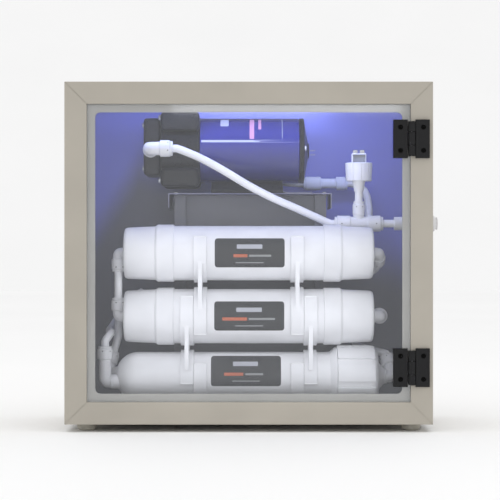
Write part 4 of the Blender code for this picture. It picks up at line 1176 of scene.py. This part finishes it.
TUBE_SOCKET = 0.0051
TEE = (0.1333, 0.079, 0.2446)
TEE_HALF = 0.0294
VALVE_HALF = 0.028


def collar_slot_shade(mouth, outward_axis, radius, back, angles):
    """Small dark discs round a push-fit collar: painted shade where its slots are."""
    outward_axis = Vector(outward_axis).normalized()
    first = outward_axis.orthogonal().normalized()
    second = outward_axis.cross(first)
    marks = []
    for degrees in angles:
        angle = math.radians(degrees)
        radial = first * math.cos(angle) + second * math.sin(angle)
        place = mouth - outward_axis * back + radial * radius
        marks.append(turn("mark", place, radial, [(-0.0006, 0.0007), (0.00005, 0.0007)], 12))
    return marks


def push_fit_elbow(name, corner, stem, stem_length, engaged, arm, arm_length, collar, sides):
    """A stem in its threaded port, a round corner, and the collar that a tube pushes into."""
    stem, arm = stem.normalized(), arm.normalized()
    body, flange, thread = collar * 0.80, collar * 0.93, 0.0055
    inward, turn_angle = -stem, (-stem).angle(arm)
    bend = body * 0.55
    reach = bend * math.tan(turn_angle / 2)
    start = corner + stem * stem_length
    bend_start = stem_length - reach
    edge = 0.0004
    rings = [
        (engaged, thread), (engaged, flange - edge), (engaged + edge, flange),
        (engaged + 0.0025 - edge, flange), (engaged + 0.0025, flange - edge), (engaged + 0.0028, body),
    ]
    piece = added(
        name, bpy.ops.mesh.primitive_circle_add, vertices=sides, radius=thread, fill_type="NGON",
        location=start, rotation=inward.to_track_quat("Z", "Y").to_euler(),
    )
    settle(piece)
    bpy.ops.object.mode_set(mode="EDIT")
    bpy.ops.mesh.select_all(action="SELECT")
    state = {"distance": 0.0, "radius": thread}

    def draw(origin, direction, distance, radius):
        step = direction * (distance - state["distance"])
        bpy.ops.mesh.extrude_region_move(TRANSFORM_OT_translate={"value": step})
        ratio = radius / state["radius"]
        if ratio != 1:
            centre = origin + direction * distance
            bpy.ops.transform.resize(value=(ratio, ratio, ratio), center_override=centre)
        state["distance"], state["radius"] = distance, radius

    for distance, radius in rings:
        if distance < bend_start:
            draw(start, inward, distance, radius)
    draw(start, inward, bend_start, body)
    hinge = inward.cross(arm).normalized()
    pivot = start + inward * bend_start + hinge.cross(inward) * bend
    bpy.ops.mesh.spin(steps=9, dupli=False, angle=turn_angle, center=pivot, axis=-hinge)
    state["distance"] = reach
    collar_start = max(arm_length - 0.0155, reach + 0.0004)
    lip = arm_length - 0.0030
    for distance, radius in (
        (collar_start, body), (collar_start + 0.0006, collar - 0.0002), (collar_start + 0.0014, collar),
        (lip - 0.0008, collar), (lip, collar - 0.0006), (lip + 0.0004, collar * 0.86),
        (lip + 0.0010, collar * 0.84), (lip + 0.0012, collar * 0.90), (arm_length - 0.0004, collar * 0.90),
        (arm_length, collar * 0.86), (arm_length, TUBE_SOCKET), (arm_length - 0.003, TUBE_SOCKET),
    ):
        draw(corner, arm, distance, radius)
    bpy.ops.object.mode_set(mode="OBJECT")
    return outward(piece)


# Each elbow: corner, stem direction, stem length, how far the stem is in its port, arm direction, arm
# length, collar radius
ELBOWS = {
    "upper_filter_left": ((-0.1558, 0.050, 0.2088), (1, 0, 0), 0.0122, 0.0028, (0, 0, -1), 0.0220, 0.0083),
    "upper_filter_right": ((0.1558, 0.05, 0.2088), (-1, 0, 0), 0.0122, 0.0028, (0, 7, -4), 0.024, 0.0083),
    "lower_filter_left": ((-0.1558, 0.050, 0.1335), (1, 0, 0), 0.0122, 0.0028, (0, 0, 1), 0.0220, 0.0083),
    "lower_filter_right": ((0.1572, 0.050, 0.1335), (-1, 0, 0), 0.0136, 0.0028, (0, 1, 0), 0.0245, 0.0095),
    "membrane_inlet": ((0.1708, 0.05, 0.0618), (-1, 0, 0), 0.0190, 0.0102, (-0.15, 0.64, 0.75), 0.03, 0.0095),
    "permeate": ((-0.1709, 0.042, 0.0560), (1, 0, 0), 0.0190, 0.0096, (0, 0, 1), 0.0420, 0.0092),
    "drain": ((-0.1700, 0.064, 0.0640), (1, 0, 0), 0.0180, 0.0095, (0.24, 0.36, 0.90), 0.0280, 0.0080),
    "pump_inlet": ((-0.119, 0.0520, 0.334), (0, 1, 0), 0.0367, 0.0090, (1, 0, 0), 0.0280, 0.0100),
    "pump_outlet": ((-0.119, 0.1770, 0.334), (0, -1, 0), 0.0367, 0.0090, (1, 0, 0), 0.0280, 0.0100),
}


class WATER_OT_elbows(Operator):
    """Builds the push-fit elbows on the pump, the filters and the membrane housing"""

    bl_idname = "water.elbows"
    bl_label = "Elbows"

    def execute(self, context):
        sides = context.scene.water_tubing.sides
        marks = []
        for name, (corner, stem, stem_length, engaged, arm, arm_length, collar) in ELBOWS.items():
            place = at(*corner)
            arm = Vector(arm).normalized()
            piece = push_fit_elbow(
                f"{name}_fitting", place, Vector(stem), stem_length, engaged, arm, arm_length, collar, sides
            )
            fit(piece, "acetal", "fitting_plastic", nodes=[f"{name}_elbow"])
            marks += collar_slot_shade(place + arm * arm_length, arm, collar, 0.0055, range(30, 390, 60))
        # The dark discs on the elbows' collars are painted shade in their slots.
        fit(joined("elbow_marks", marks), "black_moulding", "black_plastic")
        return {"FINISHED"}


class WATER_OT_feed_tee(Operator):
    """Builds the feed tee and the pressure switch that stands in its branch"""

    bl_idname = "water.feed_tee"
    bl_label = "Feed tee and switch"

    def execute(self, context):
        sides = context.scene.water_tubing.sides
        centre = at(*TEE)
        half, collar, waist = TEE_HALF, 0.0097, 0.0084
        end = [
            (half - 0.003, TUBE_SOCKET), (half, TUBE_SOCKET), (half, collar * 0.80),
            (half - 0.0005, collar * 0.86), (half - 0.0018, collar * 0.86), (half - 0.0020, collar * 0.80),
            (half - 0.0026, collar * 0.82), (half - 0.0030, collar - 0.0005), (half - 0.0036, collar),
            (half - 0.0183, collar), (half - 0.0190, collar - 0.0006), (half - 0.0192, waist),
        ]
        run = [(-x, radius) for x, radius in end] + end[::-1]
        tee = turn("tee_fitting", centre, X_AXIS, run, sides)
        branch = [
            (0.0, 0.0068), (0.0105, 0.0068), (0.0112, 0.0074), (0.0225, 0.0076), (0.0232, 0.0072),
            (0.0236, 0.0064), (0.0262, 0.0066), (0.0270, 0.0062),
        ]
        boolean(tee, turn("branch", centre, Z_AXIS, branch, sides), "UNION")
        fit(tee, "acetal", "fitting_plastic", nodes=["feed_tee"], angle=28)
        marks = []
        for side in (-1, 1):
            axis = X_AXIS * side
            mouth = centre + axis * half
            marks += collar_slot_shade(mouth, axis, collar, 0.0085, range(45, 405, 90))
        marks += collar_slot_shade(centre + Z_AXIS * 0.027, Z_AXIS, 0.0075, 0.0065, range(20, 380, 60))
        # The dark discs on the tee's collars are painted shade in their slots.
        fit(joined("tee_marks", marks), "black_moulding", "black_plastic")

        body = turn(
            "switch_body",
            centre,
            Z_AXIS,
            [
                (0.0265, 0.0048), (0.0389, 0.0048), (0.0389, 0.0056), (0.0400, 0.0060), (0.0420, 0.0060),
                (0.0500, 0.0077), (0.0515, 0.0079), (0.0515, 0.0150), (0.0521, 0.0155), (0.0729, 0.0165),
                (0.0735, 0.0160),
            ],
            120,
        )
        self.cut_grooves(body, centre)
        frame_low = centre + Vector((-0.0089, -0.0070, 0.0725))
        frame_high = centre + Vector((0.0089, 0.0070, 0.0850))
        guard = box("guard", frame_low, frame_high, 0.0016, 3)
        wall = Vector((0.0014, -0.002, 0.0012))
        hollow_high = frame_high - Vector((0.0014, -0.002, 0.0014))
        boolean(guard, box("hollow", frame_low + wall, hollow_high))
        boolean(body, guard, "UNION")
        fit(body, "clip_moulding", "white_plastic", nodes=["pressure_switch"])
        inner_low = frame_low + Vector((0.0014, 0.0030, 0.0005))
        insert = box("switch_insert", inner_low, hollow_high - Vector((0, 0.0050, 0)), 0.0004)
        fit(insert, "grey_ink", "white_plastic")
        terminals = []
        for offset in (-0.0042, 0.0042):
            blade_low = centre + Vector((offset - 0.0028, -0.0004, 0.0835))
            terminals.append(box("blade", blade_low, blade_low + Vector((0.0056, 0.0008, 0.0056)), 0.0002))
        fit(joined("switch_terminals", terminals), "bright_steel", "steel")
        return {"FINISHED"}

    def cut_grooves(self, body, centre):
        """Upright grooves part the switch's body into ten panels."""
        panels, offset = 10, math.radians(8)
        step = 2 * math.pi / panels
        half_groove = math.radians(2.5)

        def in_groove(face):
            spot = face.center - centre
            angle = (math.atan2(spot.y, spot.x) + math.pi / 2 - offset) % step
            wide = math.hypot(spot.x, spot.y) > 0.0150 and 0.0525 < spot.z < 0.0728
            return wide and not half_groove < angle < step - half_groove

        pick_faces(body, in_groove)
        bpy.ops.mesh.extrude_region_shrink_fatten(TRANSFORM_OT_shrink_fatten={"value": -0.0009})
        close_edit()


class WATER_OT_check_valve(Operator):
    """Builds the check valve behind the pump"""

    bl_idname = "water.check_valve"
    bl_label = "Check valve"

    def execute(self, context):
        half = VALVE_HALF
        profile = [
            (-half, TUBE_SOCKET), (-half, 0.0074), (-half + 0.0005, 0.0078), (-half + 0.0018, 0.0078),
            (-half + 0.0024, 0.0070), (-half + 0.0030, 0.0081), (-half + 0.0036, 0.0085),
            (-half + 0.0216, 0.0085), (-half + 0.0230, 0.0062), (half - 0.0150, 0.0062),
            (half - 0.0140, 0.0085), (half - 0.0036, 0.0085), (half - 0.0030, 0.0081),
            (half - 0.0024, 0.0070), (half - 0.0018, 0.0078), (half - 0.0005, 0.0078), (half, 0.0074),
            (half, TUBE_SOCKET), (-half, TUBE_SOCKET),
        ]
        sides = context.scene.water_tubing.sides
        valve = turn("valve_fitting", middle("check_valve"), X_AXIS, profile, sides)
        # The valve's colour is painted blue light.
        fit(valve, "tinted_acetal", "fitting_plastic", nodes=["check_valve"])
        return {"FINISHED"}


# ---------------------------------------------------------------- tubes


def smooth_route(points, spacing):
    """Points on the smooth curve through a route's own points, which stay among them."""
    knots = [Vector(point) for point in points]
    knots = [2 * knots[0] - knots[1], *knots, 2 * knots[-1] - knots[-2]]
    route = []
    for before, start, end, after in zip(knots, knots[1:], knots[2:], knots[3:]):
        steps = max(1, round((end - start).length / spacing))
        for i in range(steps):
            t = i / steps
            linear = (end - before) * t
            square = (2 * before - 5 * start + 4 * end - after) * t**2
            cube = (3 * start - before - 3 * end + after) * t**3
            route.append((2 * start + linear + square + cube) / 2)
    route.append(knots[-2])
    return route


def socket_points(name, lead=0.006):
    """The bottom of an elbow's socket, its mouth, and a point a little way straight out of it."""
    corner, _, _, _, arm, arm_length, _ = ELBOWS[name]
    direction = Vector(arm).normalized()
    reaches = (arm_length - 0.012, arm_length, arm_length + lead)
    return [Vector(corner) + direction * reach for reach in reaches]


def tube_routes():
    lead, socket = 0.005, 0.012
    tee_x, tee_y, tee_z = TEE
    tee_left, tee_right = tee_x - TEE_HALF, tee_x + TEE_HALF
    port_end = 0.215 - PORT_DEPTH
    inlet_x, port_z, inlet_y, outlet_y = -0.091, 0.334, 0.052, 0.177
    valve_x, valve_y, valve_z, valve_half = 0.097, 0.177, 0.297, VALVE_HALF
    back_end = BACK - PORT_DEPTH
    return {
        "feed_tube": [(tee_right - socket, tee_y, tee_z), (port_end + socket, tee_y, tee_z)],
        "pump_inlet_tube": [
            (inlet_x - socket, inlet_y, port_z), (inlet_x, inlet_y, port_z),
            (inlet_x + lead, inlet_y, port_z), (-0.0585, 0.0525, 0.3229), (-0.0297, 0.0540, 0.3074),
            (-0.0009, 0.0570, 0.2903), (0.0281, 0.0620, 0.2754), (0.0572, 0.0690, 0.2628),
            (0.0800, 0.0762, 0.2528), (tee_left - lead, tee_y, tee_z), (tee_left, tee_y, tee_z),
            (tee_left + socket, tee_y, tee_z),
        ],
        "pump_outlet_tube": [
            (inlet_x - socket, outlet_y, port_z), (inlet_x, outlet_y, port_z),
            (inlet_x + lead, outlet_y, port_z), (-0.0450, outlet_y, 0.3290), (0.0000, outlet_y, 0.3130),
            (0.0380, outlet_y, 0.2998), (valve_x - valve_half - lead, valve_y, valve_z),
            (valve_x - valve_half, valve_y, valve_z), (valve_x + valve_half, valve_y, valve_z),
            (valve_x + valve_half + lead, valve_y, valve_z), (0.1460, 0.1745, 0.2880),
            (0.1515, 0.1680, 0.2660), (0.1490, 0.1560, 0.2360), (0.1430, 0.1400, 0.2090),
            (0.1390, 0.1200, 0.1920), (0.1440, 0.1010, 0.1860), (0.1520, 0.0870, 0.1885),
            *reversed(socket_points("upper_filter_right", 0.004)),
        ],
        "filter_link_tube": [socket_points("upper_filter_left")[0], socket_points("lower_filter_left")[0]],
        "membrane_feed_tube": [
            *socket_points("lower_filter_right"), (0.1500, 0.1000, 0.1290), (0.1350, 0.1110, 0.1140),
            (0.1310, 0.1060, 0.0990), (0.1400, 0.0910, 0.0930),
            *reversed(socket_points("membrane_inlet", 0.004)),
        ],
        "permeate_tube": [
            *socket_points("permeate"), (-0.1655, 0.0520, 0.1125), (-0.1650, 0.0640, 0.1140),
            (-0.1690, 0.0830, 0.1150), (-0.1680, 0.1030, 0.1180), (-0.1580, 0.1300, 0.1330),
            (-0.138, back_end - lead, 0.150), (-0.138, back_end, 0.150), (-0.138, back_end + socket, 0.150),
        ],
        "drain_tube": [
            *socket_points("drain"), (-0.1580, 0.0800, 0.1100), (-0.1570, 0.0830, 0.1270),
            (-0.1470, 0.0940, 0.1420), (-0.1250, 0.1150, 0.1500), (-0.1070, 0.1380, 0.1505),
            (-0.100, back_end - lead, 0.150), (-0.100, back_end, 0.150), (-0.100, back_end + socket, 0.150),
        ],
    }


class WATER_OT_tubes(Operator):
    """Builds the lengths of tube, each from the bottom of one socket to the bottom of the next"""

    bl_idname = "water.tubes"
    bl_label = "Tubes"

    def execute(self, context):
        tubing = context.scene.water_tubing
        for name, points in tube_routes().items():
            curve = bpy.data.curves.new(f"{name}_line", "CURVE")
            curve.dimensions = "3D"
            curve.bevel_depth = tubing.radius
            curve.bevel_resolution = 5
            curve.use_fill_caps = True
            spline = curve.splines.new("POLY")
            route = smooth_route(points, tubing.spacing)
            spline.points.add(len(route) - 1)
            for point, place in zip(spline.points, route):
                point.co = (*at(*place), 1)
            piece = bpy.data.objects.new(f"{name}_length", curve)
            bpy.context.scene.collection.objects.link(piece)
            only(piece)
            bpy.ops.object.convert(target="MESH")
            piece = bpy.context.object
            fit(outward(piece), "tube_plastic", "tube_white", nodes=[name])
        return {"FINISHED"}


# ---------------------------------------------------------------- panel and running


OPERATORS = (
    WATER_OT_stage, WATER_OT_finishes, WATER_OT_cabinet, WATER_OT_feet, WATER_OT_door, WATER_OT_ports,
    WATER_OT_filters, WATER_OT_membrane, WATER_OT_clips, WATER_OT_pump_head, WATER_OT_motor,
    WATER_OT_pump_support, WATER_OT_feed_tee, WATER_OT_check_valve, WATER_OT_elbows, WATER_OT_tubes,
)
SETTINGS = {
    "water_stage": StageSettings, "water_cabinet": CabinetSettings, "water_filters": FilterSettings,
    "water_pump": PumpSettings, "water_tubing": TubingSettings,
}


class WATER_PT_panel(Panel):
    """Lists the steps that build the unit, and their settings"""

    bl_label = "Water Unit"
    bl_space_type = "VIEW_3D"
    bl_region_type = "UI"
    bl_category = "Water Unit"

    def draw(self, context):
        layout = self.layout
        for name, group in SETTINGS.items():
            column = layout.column(align=True)
            for key in group.__annotations__:
                column.prop(getattr(context.scene, name), key)
        for operator in OPERATORS:
            layout.operator(operator.bl_idname)


def register():
    for group in SETTINGS.values():
        bpy.utils.register_class(group)
    for operator in OPERATORS:
        bpy.utils.register_class(operator)
    bpy.utils.register_class(WATER_PT_panel)
    for name, group in SETTINGS.items():
        setattr(bpy.types.Scene, name, PointerProperty(type=group))


def unregister():
    for name in SETTINGS:
        delattr(bpy.types.Scene, name)
    bpy.utils.unregister_class(WATER_PT_panel)
    for made in (*OPERATORS, *SETTINGS.values()):
        bpy.utils.unregister_class(made)


def main():
    register()
    for operator in OPERATORS:
        group, name = operator.bl_idname.split(".")
        getattr(getattr(bpy.ops, group), name)()


if __name__ == "__main__":
    main()
